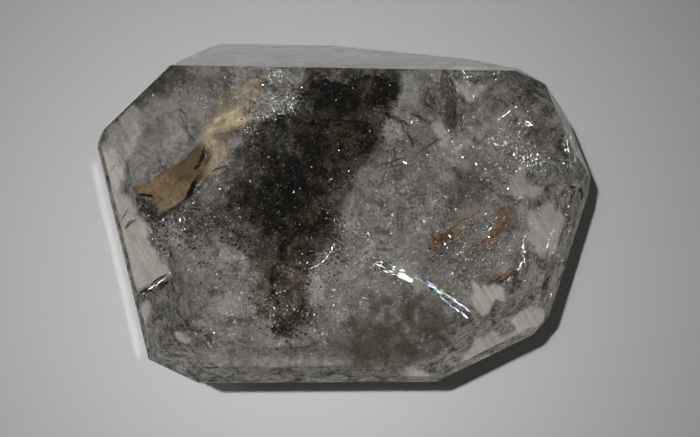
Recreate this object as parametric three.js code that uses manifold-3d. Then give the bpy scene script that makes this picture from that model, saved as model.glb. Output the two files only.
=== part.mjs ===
// A doubly terminated quartz crystal of the Herkimer habit, with the two solid bodies sealed inside it.
// It lies on one rhombohedron face, with the parallel face level on top.
// Lengths are in millimetres, angles in degrees and +Z is up. The crystal's own centre is half way up it,
// and the finished group stands with its origin under the middle of its box.
import * as THREE from "three";
import { mergeVertices } from "three/addons/utils/BufferGeometryUtils.js";
import Module from "manifold-3d";

const HEIGHT = 30; // from the face it lies on to the parallel face on top
const PARTING_LEVEL = 10; // above the centre: where the crystal is parted, through both sealed bodies
const PARTING_GAP = 0.3;
const CLEARANCE = 0.3; // between a sealed body and its pocket

// Quartz's axis ratio c/a fixes how far each kind of face leans away from the long axis.
const AXIS_RATIO = 1.1;
const FACE_TILTS = {
  prism: 90,
  rhombohedron: THREE.MathUtils.radToDeg(Math.atan(AXIS_RATIO / Math.cos(Math.PI / 6))),
  bipyramid: THREE.MathUtils.radToDeg(Math.atan(2 * AXIS_RATIO)),
};

// The grown faces. "end" is the end of the long axis that the face closes, "around" its direction about
// that axis, "distance" how far it lies from the centre, and "turn" how far it strays about the vertical.
const FACES = [
  { form: "rhombohedron", end: 1, around: 0, distance: HEIGHT / 2, turn: 0 },
  { form: "rhombohedron", end: -1, around: 180, distance: HEIGHT / 2, turn: 0 },
  { form: "rhombohedron", end: -1, around: 300, distance: 26.2, turn: 3 },
  { form: "rhombohedron", end: 1, around: 180, distance: 20.0, turn: -1 },
  { form: "rhombohedron", end: 1, around: 300, distance: 29.7, turn: 7 },
  { form: "rhombohedron", end: -1, around: 0, distance: 19.7, turn: -1.5 },
  { form: "rhombohedron", end: -1, around: 240, distance: 15.9, turn: 1 },
  { form: "prism", end: 1, around: 60, distance: 36.3, turn: -1 },
  { form: "prism", end: 1, around: 120, distance: 22.2, turn: -7 },
  { form: "prism", end: 1, around: 240, distance: 22.9, turn: -5 },
  { form: "prism", end: 1, around: 300, distance: 32.6, turn: 1.5 },
  { form: "bipyramid", end: -1, around: 90, distance: 28.5, turn: -0.5 },
  { form: "bipyramid", end: 1, around: 150, distance: 22.9, turn: 2.5 },
  { form: "bipyramid", end: 1, around: 210, distance: 19.3, turn: -4.5 },
  { form: "bipyramid", end: -1, around: 330, distance: 27.4, turn: 5 },
];

// The two flats that aren't grown faces: a small chip off the right-hand corner, and the upper left side,
// where the crystal grew against a neighbour. "facing" is a flat's compass direction in the level plane,
// "lean" how far it leans back as it rises, and "distance" how far it lies from the centre.
const FLATS = [
  { facing: -10, lean: 0, distance: 31.6 },
  { facing: 133.5, lean: 3, distance: 29.3 },
];

// The black hydrocarbon mass: a band of grown-together lumps that crosses the crystal under its top face.
const BLACK_LUMPS = [
  { at: [2.4, 13.8, 10.5], radii: [4.8, 2.8, 1.9], turn: 8 },
  { at: [-3.5, 12.2, 10.0], radii: [6.0, 4.0, 2.4], turn: -10 },
  { at: [-2.0, 8.0, 9.0], radii: [6.6, 5.0, 3.2], turn: 20 },
  { at: [-9.6, 7.0, 9.5], radii: [5.6, 4.2, 2.8], turn: 35 },
  { at: [-7.2, 2.8, 8.0], radii: [9.0, 5.4, 4.2], turn: 10 },
  { at: [-12.6, -0.6, 8.8], radii: [4.8, 4.0, 3.0], turn: -15 },
  { at: [-19.4, -2.6, 8.7], radii: [3.4, 1.5, 0.8], turn: -4 },
  { at: [-7.0, -2.8, 7.8], radii: [6.2, 4.2, 3.8], turn: 15 },
  { at: [-8.6, -8.0, 8.0], radii: [4.0, 4.2, 3.4], turn: 40 },
  { at: [-9.2, -13.0, 7.8], radii: [2.9, 4.2, 2.8], turn: 12 },
  { at: [-9.6, -17.0, 8.6], radii: [1.8, 2.8, 2.2], turn: 0 },
];
const LUMP_DETAIL = 1; // subdivisions of the icosahedron that each lump starts as

// The brown clay-coated flake, seen from above, left of the black mass.
const FLAKE_OUTLINE = [
  [-28.7, 1.6],
  [-28.0, 0.8],
  [-26.1, 0.7],
  [-25.5, -1.9],
  [-23.8, -1.2],
  [-22.0, 0.1],
  [-20.8, 2.3],
  [-19.9, 3.5],
  [-18.8, 5.5],
  [-19.3, 7.8],
  [-22.0, 5.1],
  [-25.5, 3.1],
  [-26.2, 2.2],
];
const FLAKE_CENTRE = [-23.5, 2.6];
const FLAKE_THICKNESS = 0.7;
const FLAKE_TILT = 9; // its left end is raised

const COLOURS = { quartz: "#d9d6d2", hydrocarbon: "#1b1816", clay: "#7a603f" };

const wasm = await Module();
wasm.setup();

/** A grown face's plane, with the crystal turned to lie on its rhombohedron face. */
function grownPlane({ form, end, around, distance, turn }) {
  const tilt = THREE.MathUtils.degToRad(FACE_TILTS[form]);
  const azimuth = THREE.MathUtils.degToRad(around);
  const normal = new THREE.Vector3(
    Math.sin(tilt) * Math.cos(azimuth),
    Math.sin(tilt) * Math.sin(azimuth),
    end * Math.cos(tilt),
  );
  const layDown = THREE.MathUtils.degToRad(-FACE_TILTS.rhombohedron);
  normal.applyAxisAngle(new THREE.Vector3(0, 1, 0), layDown);
  normal.applyAxisAngle(new THREE.Vector3(0, 0, 1), Math.PI / 2 + THREE.MathUtils.degToRad(turn));
  return new THREE.Plane(normal, -distance);
}

/** A flat's plane. */
function flatPlane({ facing, lean, distance }) {
  const heading = THREE.MathUtils.degToRad(facing);
  const rise = THREE.MathUtils.degToRad(lean);
  const level = Math.cos(rise);
  const normal = new THREE.Vector3(level * Math.cos(heading), level * Math.sin(heading), Math.sin(rise));
  return new THREE.Plane(normal, -distance);
}

/** The point where three planes meet, or null where they don't. */
function meetingPoint(a, b, c) {
  const rows = new THREE.Matrix3().set(...a.normal, ...b.normal, ...c.normal);
  if (Math.abs(rows.determinant()) < 1e-6) {
    return null;
  }
  return new THREE.Vector3(-a.constant, -b.constant, -c.constant).applyMatrix3(rows.invert());
}

/** The corners of the solid that all the planes bound, each corner once. */
function corners(planes) {
  const found = [];
  const isNew = (point) => found.every((other) => other.distanceTo(point) > 1e-4);
  const isInside = (point) => planes.every((plane) => plane.distanceToPoint(point) < 1e-6);
  for (let i = 0; i < planes.length; i++) {
    for (let j = i + 1; j < planes.length; j++) {
      for (let k = j + 1; k < planes.length; k++) {
        const point = meetingPoint(planes[i], planes[j], planes[k]);
        if (point && isInside(point) && isNew(point)) {
          found.push(point);
        }
      }
    }
  }
  return found;
}

/** The corners that lie on one plane, in order around its outward normal. */
function ringOn(plane, points) {
  const ring = points.filter((point) => Math.abs(plane.distanceToPoint(point)) < 1e-4);
  const middle = ring.reduce((sum, point) => sum.add(point), new THREE.Vector3()).divideScalar(ring.length);
  const right = new THREE.Vector3().subVectors(ring[0], middle).normalize();
  const ahead = new THREE.Vector3().crossVectors(plane.normal, right);
  const bearing = (point) => {
    const offset = new THREE.Vector3().subVectors(point, middle);
    return Math.atan2(offset.dot(ahead), offset.dot(right));
  };
  return ring.sort((first, second) => bearing(first) - bearing(second));
}

/** The closed flat-faced solid that the planes bound. */
function polyhedron(planes) {
  const points = corners(planes);
  const used = planes.filter((plane) => points.some((point) => Math.abs(plane.distanceToPoint(point)) < 1e-4));
  const triangles = used.flatMap((plane) => {
    const ring = ringOn(plane, points);
    return ring.slice(2).flatMap((point, i) => [ring[0], ring[i + 1], point]);
  });
  return new THREE.BufferGeometry().setFromPoints(triangles);
}

/** A closed geometry as a manifold solid. */
function toSolid(geometry) {
  const bare = geometry.clone().deleteAttribute("normal").deleteAttribute("uv");
  const merged = mergeVertices(bare, 1e-4);
  return new wasm.Manifold(
    new wasm.Mesh({
      numProp: 3,
      vertProperties: new Float32Array(merged.attributes.position.array),
      triVerts: new Uint32Array(merged.index.array),
    }),
  );
}

/** A manifold solid as a flat-shaded geometry. */
function toGeometry(solid) {
  const mesh = solid.getMesh();
  const geometry = new THREE.BufferGeometry();
  geometry.setAttribute("position", new THREE.BufferAttribute(mesh.vertProperties, 3));
  geometry.setIndex(new THREE.BufferAttribute(mesh.triVerts, 1));
  const flat = geometry.toNonIndexed();
  flat.computeVertexNormals();
  return flat;
}

/** One lump of the black mass, larger by the margin all round. */
function lump({ at, radii, turn }, margin) {
  const [long, wide, high] = radii.map((radius) => radius + margin);
  const geometry = new THREE.IcosahedronGeometry(1, LUMP_DETAIL);
  geometry.scale(long, wide, high);
  geometry.rotateZ(THREE.MathUtils.degToRad(turn));
  geometry.translate(...at);
  return toSolid(geometry);
}

/** The black mass, or its pocket with a margin. */
function blackMass(margin = 0) {
  return BLACK_LUMPS.map((each) => lump(each, margin)).reduce((mass, each) => mass.add(each));
}

/** The brown flake, or its pocket with a margin. */
function brownFlake(margin = 0) {
  const [x, y] = FLAKE_CENTRE;
  const outline = new THREE.Shape(FLAKE_OUTLINE.map((point) => new THREE.Vector2(point[0] - x, point[1] - y)));
  const geometry = new THREE.ExtrudeGeometry(outline, {
    depth: FLAKE_THICKNESS,
    bevelEnabled: margin > 0,
    bevelThickness: margin,
    bevelSize: margin,
    bevelSegments: 1,
  });
  geometry.translate(0, 0, -FLAKE_THICKNESS / 2);
  geometry.rotateY(THREE.MathUtils.degToRad(FLAKE_TILT));
  geometry.translate(x, y, PARTING_LEVEL);
  return toSolid(geometry);
}

/** The crystal's part above (side 1) or below (side -1) the parting, with its share of the pockets. */
function crystalHalf(planes, side) {
  const level = PARTING_LEVEL + (side * PARTING_GAP) / 2;
  const parting = new THREE.Plane(new THREE.Vector3(0, 0, -side), side * level);
  const pockets = blackMass(CLEARANCE).add(brownFlake(CLEARANCE));
  return toSolid(polyhedron([...planes, parting])).subtract(pockets);
}

function piece(name, solid, material) {
  const mesh = new THREE.Mesh(toGeometry(solid), material);
  mesh.name = name;
  return mesh;
}

const quartz = new THREE.MeshStandardMaterial({
  color: COLOURS.quartz,
  roughness: 0.05,
  metalness: 0,
  transparent: true,
  opacity: 0.35,
});
const hydrocarbon = new THREE.MeshStandardMaterial({ color: COLOURS.hydrocarbon, roughness: 0.55, metalness: 0 });
const clay = new THREE.MeshStandardMaterial({ color: COLOURS.clay, roughness: 0.8, metalness: 0 });

const planes = [...FACES.map(grownPlane), ...FLATS.map(flatPlane)];
const middle = new THREE.Box3().setFromPoints(corners(planes)).getCenter(new THREE.Vector3());

const crystal = new THREE.Group();
crystal.add(
  piece("crystal_lower", crystalHalf(planes, -1), quartz),
  piece("crystal_upper", crystalHalf(planes, 1), quartz),
  piece("black_inclusion", blackMass(), hydrocarbon),
  piece("brown_flake", brownFlake(), clay),
);
crystal.position.set(-middle.x, -middle.y, HEIGHT / 2);

export default crystal;
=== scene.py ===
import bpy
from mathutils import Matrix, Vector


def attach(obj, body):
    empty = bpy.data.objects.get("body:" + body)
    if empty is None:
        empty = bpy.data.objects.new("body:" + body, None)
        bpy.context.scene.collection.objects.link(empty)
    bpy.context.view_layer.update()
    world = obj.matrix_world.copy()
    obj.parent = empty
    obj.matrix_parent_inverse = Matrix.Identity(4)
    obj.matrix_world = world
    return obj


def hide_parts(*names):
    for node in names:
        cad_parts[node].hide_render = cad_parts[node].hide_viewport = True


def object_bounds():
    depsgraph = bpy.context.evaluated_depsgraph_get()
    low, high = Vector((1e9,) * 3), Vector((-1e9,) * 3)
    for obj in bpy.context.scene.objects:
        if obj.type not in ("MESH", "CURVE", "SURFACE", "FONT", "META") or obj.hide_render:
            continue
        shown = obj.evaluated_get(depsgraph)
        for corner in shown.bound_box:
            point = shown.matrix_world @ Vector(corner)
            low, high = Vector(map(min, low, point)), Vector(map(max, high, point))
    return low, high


bl_info = {
    "name": "Herkimer Quartz Crystal",
    "version": (1, 0, 0),
    "blender": (4, 5, 0),
    "location": "View3D > Sidebar > Quartz",
    "description": "Dresses a quartz crystal with its hydrocarbon, flake, veils, stains and glints",
    "category": "Add Mesh",
}

import math
from collections import namedtuple

import bmesh
import bpy
import numpy as np
from mathutils import Quaternion, Vector

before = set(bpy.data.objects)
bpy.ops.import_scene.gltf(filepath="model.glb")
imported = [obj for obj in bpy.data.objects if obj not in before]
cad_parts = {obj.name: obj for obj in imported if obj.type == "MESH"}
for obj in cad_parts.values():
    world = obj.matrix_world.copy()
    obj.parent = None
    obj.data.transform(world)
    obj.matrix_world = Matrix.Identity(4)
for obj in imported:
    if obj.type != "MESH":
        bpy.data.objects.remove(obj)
CAD_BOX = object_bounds()

# Shapes are worked out in millimetres and stored in Blender's metres.
MM = 0.001
LOW, HIGH = (np.array(corner) / MM for corner in CAD_BOX)
BODY = "root"
CRYSTAL_HALVES = ("crystal_lower", "crystal_upper")
FEWEST_FACES = 14  # a crystal with fewer has gone wrong
FACE_MARGIN = 0.35  # mm of clear quartz kept between anything inside and the crystal's faces


def require(condition, message):
    """Stops the script, since a cancelled operator wouldn't."""
    if not condition:
        raise RuntimeError(message)


# ---------------------------------------------------------------------------
# Shape helpers
# ---------------------------------------------------------------------------


def crystal_hull():
    """The crystal's outer shape as a bmesh of flat faces, in mm: what both halves fill together."""
    hull = bmesh.new()
    for half in CRYSTAL_HALVES:
        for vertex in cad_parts[half].data.vertices:
            hull.verts.new(vertex.co / MM)
    bmesh.ops.convex_hull(hull, input=hull.verts)
    loose = [vertex for vertex in hull.verts if not vertex.link_faces]
    bmesh.ops.delete(hull, geom=loose, context="VERTS")
    bmesh.ops.remove_doubles(hull, verts=hull.verts, dist=0.01)
    bmesh.ops.dissolve_limit(hull, angle_limit=math.radians(1.0), verts=hull.verts, edges=hull.edges)
    bmesh.ops.recalc_face_normals(hull, faces=hull.faces)
    return hull


def crystal_planes():
    """Outward normals of the crystal's faces, and how far out each face lies, in mm."""
    hull = crystal_hull()
    normals = np.array([face.normal[:] for face in hull.faces])
    middles = np.array([face.calc_center_median()[:] for face in hull.faces])
    hull.free()
    require(len(normals) >= FEWEST_FACES, "the packed crystal has lost some of its faces")
    return normals, (normals * middles).sum(1)


NORMALS, DISTANCES = crystal_planes()


def depth_inside(points):
    """How deep each point lies under the nearest crystal face, in mm."""
    return (DISTANCES - points @ NORMALS.T).min(1)


def place_inside(bottom, top, depth, draw):
    """A random place between two levels, at least a depth inside the crystal, in mm."""
    while True:
        place = draw.uniform((*LOW[:2], bottom), (*HIGH[:2], top))
        if depth_inside(place[None])[0] >= depth:
            return place


def smoothstep(low, high, value):
    t = np.clip((value - low) / (high - low), 0, 1)
    return t * t * (3 - 2 * t)


RIPPLE_WAVES = 7  # in each octave
RIPPLE_PACES = (0.7, 1.4)  # slowest and fastest wave of an octave, as a share of the octave's own pace
RIPPLE_GAIN = 1.6  # brings the sum of all the waves to about -1 to 1


class Ripple:
    """Smooth repeatable noise from about -1 to 1: waves in random directions, each octave half the size."""

    def __init__(self, seed, size, octaves=4):
        draw = np.random.default_rng(seed)
        self.rows = []
        for octave in range(octaves):
            ways = draw.normal(size=(RIPPLE_WAVES, 3))
            ways /= np.linalg.norm(ways, axis=1)[:, None]
            paces = 2 * math.pi / size * 2**octave * draw.uniform(*RIPPLE_PACES, (RIPPLE_WAVES, 1))
            self.rows.append((ways * paces, draw.uniform(0, 2 * math.pi, RIPPLE_WAVES), 0.5**octave))

    def __call__(self, points):
        height = sum(np.sin(points @ ways.T + starts).mean(1) * share for ways, starts, share in self.rows)
        return height * RIPPLE_GAIN


def axes_for(lean, heading, spin=0.0):
    """Three unit rows: across, along and out, which leans from vertical towards a heading, in degrees."""
    lean, heading, spin = (math.radians(angle) for angle in (lean, heading, spin))
    out = np.array([math.sin(lean) * math.cos(heading), math.sin(lean) * math.sin(heading), math.cos(lean)])
    across = np.cross([math.sin(heading), -math.cos(heading), 0.0], out)
    across = np.cross(out, np.cross(across, out))
    across /= np.linalg.norm(across)
    along = np.cross(out, across)
    turned = math.cos(spin) * across + math.sin(spin) * along
    return np.array([turned, np.cross(out, turned), out])


def store(mesh, **point_values):
    """Stores named values on a mesh, one for each of its points."""
    for label, values in point_values.items():
        layer = mesh.attributes.new(label, "FLOAT", "POINT")
        layer.data.foreach_set("value", np.asarray(values, dtype=np.float32))


def add_piece(name, points, faces, material, slot, smooth=False, **point_values):
    """A mesh piece from points in mm, riding on the crystal, with optional values stored per point."""
    require(len(points) > 0, f"{name} came out empty")
    mesh = bpy.data.meshes.new(name)
    mesh.from_pydata((np.asarray(points) * MM).tolist(), [], [list(map(int, face)) for face in faces])
    store(mesh, **point_values)
    mesh.validate()
    return add_mesh(name, mesh, material, smooth)


def add_mesh(name, mesh, material, smooth=False):
    """Puts a finished mesh in the scene as a piece of the crystal."""
    mesh.polygons.foreach_set("use_smooth", [smooth] * len(mesh.polygons))
    mesh.materials.clear()
    mesh.materials.append(material)
    piece = bpy.data.objects.new(name, mesh)
    bpy.context.scene.collection.objects.link(piece)
    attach(piece, BODY)
    return piece


def distance_within(points, outline):
    """How far each flat point lies inside a closed outline, in mm, and negative outside it."""
    corners = np.asarray(outline, dtype=float)
    sides = np.roll(corners, -1, axis=0) - corners
    nearest = np.full(len(points), np.inf)
    inside = np.zeros(len(points), dtype=bool)
    for corner, side in zip(corners, sides):
        offset = points - corner
        along = np.clip(offset @ side / (side @ side), 0, 1)
        nearest = np.minimum(nearest, np.linalg.norm(offset - along[:, None] * side, axis=1))
        crosses = (offset[:, 1] >= 0) != (offset[:, 1] - side[1] >= 0)
        if side[1] != 0:
            inside ^= crosses & (offset[:, 0] < offset[:, 1] * side[0] / side[1])
    return np.where(inside, nearest, -nearest)


def grid_faces(rows, columns):
    """The quads of a grid whose points run along its columns first."""
    corner = np.arange(rows * columns).reshape(rows, columns)
    return np.stack([corner[:-1, :-1], corner[:-1, 1:], corner[1:, 1:], corner[1:, :-1]], -1).reshape(-1, 4)


def trimmed(points, faces, fade, margin=FACE_MARGIN):
    """A sheet without what has faded out or lies too near the crystal's faces."""
    depth = depth_inside(points)
    fade = fade * smoothstep(margin, 2.4 * margin, depth)
    faces = faces[(fade[faces].max(1) > 0.01) & (depth[faces].min(1) > margin)]
    used, faces = np.unique(faces, return_inverse=True)
    return points[used], faces.reshape(-1, 4), fade[used]


SHEET_SWELL = 1.1  # from one swell of a sheet to the next, as a share of the sheet's reach
SHEET_BULGE = 0.8  # and from one bulge in its edge to the next
SHEET_FADE = (0.55, 0.98)  # where a sheet starts and ends its fading, as a share of its reach


def curved_sheet(centre, axes, reach, bend, wrinkle, seed, steps=44, ragged=0.35, ceiling=40.0):
    """A wrinkled sheet's points, faces and fade: 1 in its middle, 0 at its ragged edge and its ceiling."""
    span = np.linspace(-1, 1, steps)
    v, u = (grid.ravel() for grid in np.meshgrid(span, span, indexing="ij"))
    flat = np.column_stack([u * reach[0], v * reach[1], np.zeros_like(u)])
    swell = Ripple(seed, max(reach) * SHEET_SWELL)
    edge = Ripple(seed + 1, max(reach) * SHEET_BULGE)(flat)
    height = bend[0] * u * u + bend[1] * v * v + wrinkle * swell(flat)
    points = np.asarray(centre) + np.column_stack([flat[:, 0], flat[:, 1], height]) @ axes
    fade = 1 - smoothstep(*SHEET_FADE, np.hypot(u, v) + ragged * edge)
    fade *= 1 - smoothstep(ceiling - 1.0, ceiling, points[:, 2])
    return trimmed(points, grid_faces(steps, steps), fade)


def film(
    outline, level, slope=(0, 0), wrinkle=0.25, soft=0.8, ragged=0.5, seed=1, step=0.25, margin=FACE_MARGIN
):
    """A wrinkled film that fills an outline at a level: its points, faces and fade."""
    corners = np.asarray(outline, dtype=float)
    low, high = corners.min(0) - soft, corners.max(0) + soft
    columns, rows = (np.arange(start, stop + step, step) for start, stop in zip(low, high))
    y, x = (grid.ravel() for grid in np.meshgrid(rows, columns, indexing="ij"))
    flat = np.column_stack([x, y])
    solid = np.column_stack([x, y, np.zeros_like(x)])
    reach = distance_within(flat, corners) + ragged * Ripple(seed, 3.0)(solid)
    height = level + (flat - corners.mean(0)) @ np.asarray(slope)
    height = height + wrinkle * Ripple(seed + 1, 4.0)(solid)
    points = np.column_stack([x, y, height])
    return trimmed(points, grid_faces(len(rows), len(columns)), smoothstep(-soft, soft, reach), margin)


def films(rows, seed, **look):
    """One film for each row of an outline and its level, each with a seed of its own."""
    return [film(outline, level, seed=seed + i, **look) for i, (outline, level) in enumerate(rows)]


def joined(parts):
    """Points and faces of several parts together; what else a part holds is left out."""
    starts = np.cumsum([0] + [len(part[0]) for part in parts])
    faces = np.concatenate([part[1] + start for part, start in zip(parts, starts)])
    return np.concatenate([part[0] for part in parts]), faces


def add_sheets(name, sheets, material, slot):
    """One piece from several sheets, with their fade stored per point. Films this thin cast no shadow."""
    points, faces = joined(sheets)
    fade = np.concatenate([sheet[2] for sheet in sheets])
    piece = add_piece(name, points, faces, material, slot, smooth=True, fade=fade)
    piece.visible_shadow = False


MOST_SEED = 10**6  # for seeds that are drawn themselves
STRAND_DRIFT = 3.0  # mm from one swerve of a strand to the next
STRAND_WIDTHS = (0.5, 1.4)  # thinnest and thickest strand, as a share of the given width
STRAND_TIP = 0.15  # radians of the swell in thickness that each end leaves off, so that it is never a point
STRAND_SHIFTS = (0.0, 40.0, 80.0)  # mm between the ripples that move a strand along X, Y and Z


def strands(start, end, count, spread, width, draw, bow=0.0, wander=0.3, steps=14, loose=0.8):
    """Thin three-sided threads that each cover part of the way from start to end: their points and faces."""
    start, end = np.asarray(start, dtype=float), np.asarray(end, dtype=float)
    way = (end - start) / np.linalg.norm(end - start)
    side = np.cross([0.0, 0.0, 1.0], way)
    drift = Ripple(int(draw.integers(MOST_SEED)), STRAND_DRIFT)
    points, faces = [], []
    for number in range(count):
        low, high = np.sort(draw.uniform(0, 1, 2))
        part = np.linspace(low * loose, 1 - loose + high * loose, steps)
        offset = draw.normal(size=3) * spread
        path = start + part[:, None] * (end - start) + offset
        path += side * (bow * np.sin(part * math.pi))[:, None]
        path += np.column_stack([drift(path + shift) for shift in STRAND_SHIFTS]) * wander
        swell = np.sin(np.linspace(STRAND_TIP, math.pi - STRAND_TIP, steps))
        thick = width * draw.uniform(*STRAND_WIDTHS) * swell
        for turn in range(3):
            angle = turn * math.tau / 3
            outward = side * math.cos(angle) + np.array([0, 0, 1.0]) * math.sin(angle)
            points.append(path + outward * thick[:, None])
        base = number * 3 * steps
        for turn in range(3):
            one = base + turn * steps + np.arange(steps - 1)
            two = base + (turn + 1) % 3 * steps + np.arange(steps - 1)
            faces.append(np.stack([one, two, two + 1, one + 1], -1))
    points = np.concatenate(points)
    faces = np.concatenate(faces)
    faces = faces[depth_inside(points)[faces].min(1) > FACE_MARGIN]
    used, faces = np.unique(faces, return_inverse=True)
    return points[used], faces.reshape(-1, 4)


def add_strands(name, parts, material, slot):
    """One piece from several bundles of threads."""
    points, faces = joined(parts)
    add_piece(name, points, faces, material, slot, smooth=True)


# ---------------------------------------------------------------------------
# Materials
# ---------------------------------------------------------------------------


def fill(tree, socket, value):
    """Gives an input socket its value, or links it where the value is a socket too."""
    if isinstance(value, bpy.types.NodeSocket):
        tree.links.new(value, socket)
    else:
        socket.default_value = value


def node(tree, kind, inputs=None, **settings):
    """A shader node with its settings and its input values or links."""
    made = tree.nodes.new(kind)
    for name, value in settings.items():
        setattr(made, name, value)
    for name, value in (inputs or {}).items():
        fill(tree, made.inputs[name], value)
    return made


def math_node(tree, operation, first, second, clamp=False):
    made = node(tree, "ShaderNodeMath", {0: first, 1: second}, operation=operation, use_clamp=clamp)
    return made.outputs[0]


def product(tree, first, *others, clamp=False):
    """Several values multiplied together."""
    for other in others:
        first = math_node(tree, "MULTIPLY", first, other, clamp)
    return first


def total(tree, first, second, clamp=False):
    return math_node(tree, "ADD", first, second, clamp)


def range_node(tree, value, low, high, to_low=0.0, to_high=1.0):
    sizes = {"Value": value, "From Min": low, "From Max": high, "To Min": to_low, "To Max": to_high}
    return node(tree, "ShaderNodeMapRange", sizes, clamp=True).outputs[0]


def between(tree, value, low, high):
    """A value from 0 to 1 stretched to run from low to high."""
    return range_node(tree, value, 0.0, 1.0, low, high)


def colour(rgb):
    return (*rgb, 1.0)


def scaled(rgb, share):
    """A lighter or darker tone of a colour."""
    return tuple(share * part for part in rgb)


def mix_colours(tree, factor, first, second):
    """A mix of two colours, each a socket or its red, green and blue."""
    first, second = (c if isinstance(c, bpy.types.NodeSocket) else colour(c) for c in (first, second))
    return node(tree, "ShaderNodeMix", {0: factor, 6: first, 7: second}, data_type="RGBA").outputs[2]


def noise(tree, place, scale, **values):
    return node(tree, "ShaderNodeTexNoise", {"Vector": place, "Scale": scale, **values}).outputs["Fac"]


def bump(tree, height, strength, depth):
    """A surface normal raised by a height from 0 to 1, over a depth in mm."""
    sizes = {"Strength": strength, "Distance": depth * MM, "Height": height}
    return node(tree, "ShaderNodeBump", sizes).outputs[0]


def new_group(name, inputs, outputs):
    """A shader node group whose inputs and outputs are all numbers."""
    group = bpy.data.node_groups.new(name, "ShaderNodeTree")
    for label, default in inputs.items():
        socket = group.interface.new_socket(label, in_out="INPUT", socket_type="NodeSocketFloat")
        socket.default_value = default
    for label in outputs:
        group.interface.new_socket(label, in_out="OUTPUT", socket_type="NodeSocketFloat")
    source = group.nodes.new("NodeGroupInput")
    sink = group.nodes.new("NodeGroupOutput")
    return group, source.outputs, sink.inputs


def mottle_group():
    """Cloudy patches with fine dots in them, as healed cracks and sooty quartz have."""
    found = bpy.data.node_groups.get("mottle")
    if found:
        return found
    inputs = {"Patch Scale": 260.0, "Dot Scale": 2600.0, "Cover": 0.5, "Dots": 0.5}
    group, given, out = new_group("mottle", inputs, ("Mask", "Tone"))
    place = node(group, "ShaderNodeTexCoord").outputs["Object"]
    patch = noise(group, place, given["Patch Scale"], Detail=5.0, Roughness=0.62, Distortion=0.6)
    grain = noise(group, place, given["Dot Scale"], Detail=2.0)
    finer = product(group, given["Patch Scale"], 1.7)
    swirl = noise(group, place, finer, Detail=8.0, Roughness=0.7, Distortion=1.2)
    cells = {"Vector": place, "Scale": given["Dot Scale"], "Randomness": 1.0}
    dots = node(group, "ShaderNodeTexVoronoi", cells, feature="F1").outputs["Distance"]
    threshold = math_node(group, "SUBTRACT", 1.0, given["Cover"])
    cloud = range_node(group, patch, threshold, total(group, threshold, 0.28))
    spotted = product(group, range_node(group, dots, 0.42, 0.25), given["Dots"])
    fine = total(group, spotted, math_node(group, "SUBTRACT", 1.0, given["Dots"]))
    blend = total(group, product(group, swirl, 0.7), product(group, grain, 0.3))
    fill(group, out["Mask"], product(group, cloud, fine, clamp=True))
    fill(group, out["Tone"], range_node(group, blend, 0.41, 0.59))
    return group


def streak_group():
    """Fine uneven lines along one direction, as growth striations and hackled cracks have."""
    found = bpy.data.node_groups.get("streaks")
    if found:
        return found
    group, given, out = new_group("streaks", {"Scale": 900.0, "Stretch": 0.06, "Heading": 0.0}, ("Lines",))
    place = node(group, "ShaderNodeTexCoord").outputs["Object"]
    angle = {"Vector": place, "Angle": given["Heading"]}
    turn = node(group, "ShaderNodeVectorRotate", angle, rotation_type="Z_AXIS")
    squeeze = node(group, "ShaderNodeCombineXYZ", {"X": given["Stretch"], "Y": 1.0, "Z": 0.5})
    both = {0: turn.outputs[0], 1: squeeze.outputs[0]}
    stretched = node(group, "ShaderNodeVectorMath", both, operation="MULTIPLY").outputs[0]
    lines = noise(group, stretched, given["Scale"], Detail=3.0, Roughness=0.6)
    fill(group, out["Lines"], range_node(group, lines, 0.36, 0.64))
    return group


def mottled(tree, patch, dots, cover, dotted):
    """The mottle group with its own values in a material: its Mask and Tone."""
    sizes = {"Patch Scale": patch, "Dot Scale": dots, "Cover": cover, "Dots": dotted}
    return node(tree, "ShaderNodeGroup", sizes, node_tree=mottle_group()).outputs


def streaked(tree, scale, stretch, heading):
    """The streak group's lines in a material, along a heading in degrees."""
    sizes = {"Scale": scale, "Stretch": stretch, "Heading": math.radians(heading)}
    return node(tree, "ShaderNodeGroup", sizes, node_tree=streak_group()).outputs["Lines"]


def new_material(name):
    material = bpy.data.materials.new(name)
    material.use_nodes = True
    tree = material.node_tree
    return material, tree, tree.nodes["Principled BSDF"]


def set_values(tree, shader, **values):
    """Sets or links a shader's inputs, each named with _ for its spaces."""
    for label, value in values.items():
        fill(tree, shader.inputs[label.replace("_", " ")], value)


def point_value(tree, label):
    """A value stored per point on the mesh."""
    return node(tree, "ShaderNodeAttribute", attribute_name=label).outputs["Fac"]


def hiding(tree, pattern, strength):
    """How much a film hides of what is behind it: its pattern, fading out at its edges."""
    return product(tree, pattern["Mask"], point_value(tree, "fade"), strength, clamp=True)


def quartz_material(settings):
    """Clear quartz: plain transmission, with lamps let through and a faint smoky absorption."""
    material, tree, shader = new_material("clear_quartz")
    lines = streaked(tree, scale=1500.0, stretch=0.05, heading=8)
    swells = mottled(tree, patch=120.0, dots=900.0, cover=0.8, dotted=0.0)
    height = total(tree, product(tree, lines, 0.2), swells["Mask"])
    set_values(
        tree,
        shader,
        Base_Color=colour((1.0, 1.0, 1.0)),
        Roughness=0.012,
        IOR=1.544,
        Transmission_Weight=1.0,
        Normal=bump(tree, height, settings.relief_strength, depth=0.02),
    )
    lamps = node(tree, "ShaderNodeLightPath").outputs["Is Shadow Ray"]
    leaving = node(tree, "ShaderNodeNewGeometry").outputs["Backfacing"]
    share = mix_colours(tree, leaving, settings.shadow_share, settings.lamp_share)
    clear = node(tree, "ShaderNodeBsdfTransparent", {"Color": share})
    mixed = node(tree, "ShaderNodeMixShader", {0: lamps, 1: shader.outputs[0], 2: clear.outputs[0]})
    absorbed = {"Color": colour(settings.smoke_colour), "Density": settings.smoke_density}
    smoke = node(tree, "ShaderNodeVolumeAbsorption", absorbed)
    output = tree.nodes["Material Output"]
    set_values(tree, output, Surface=mixed.outputs[0], Volume=smoke.outputs[0])
    return material


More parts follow.
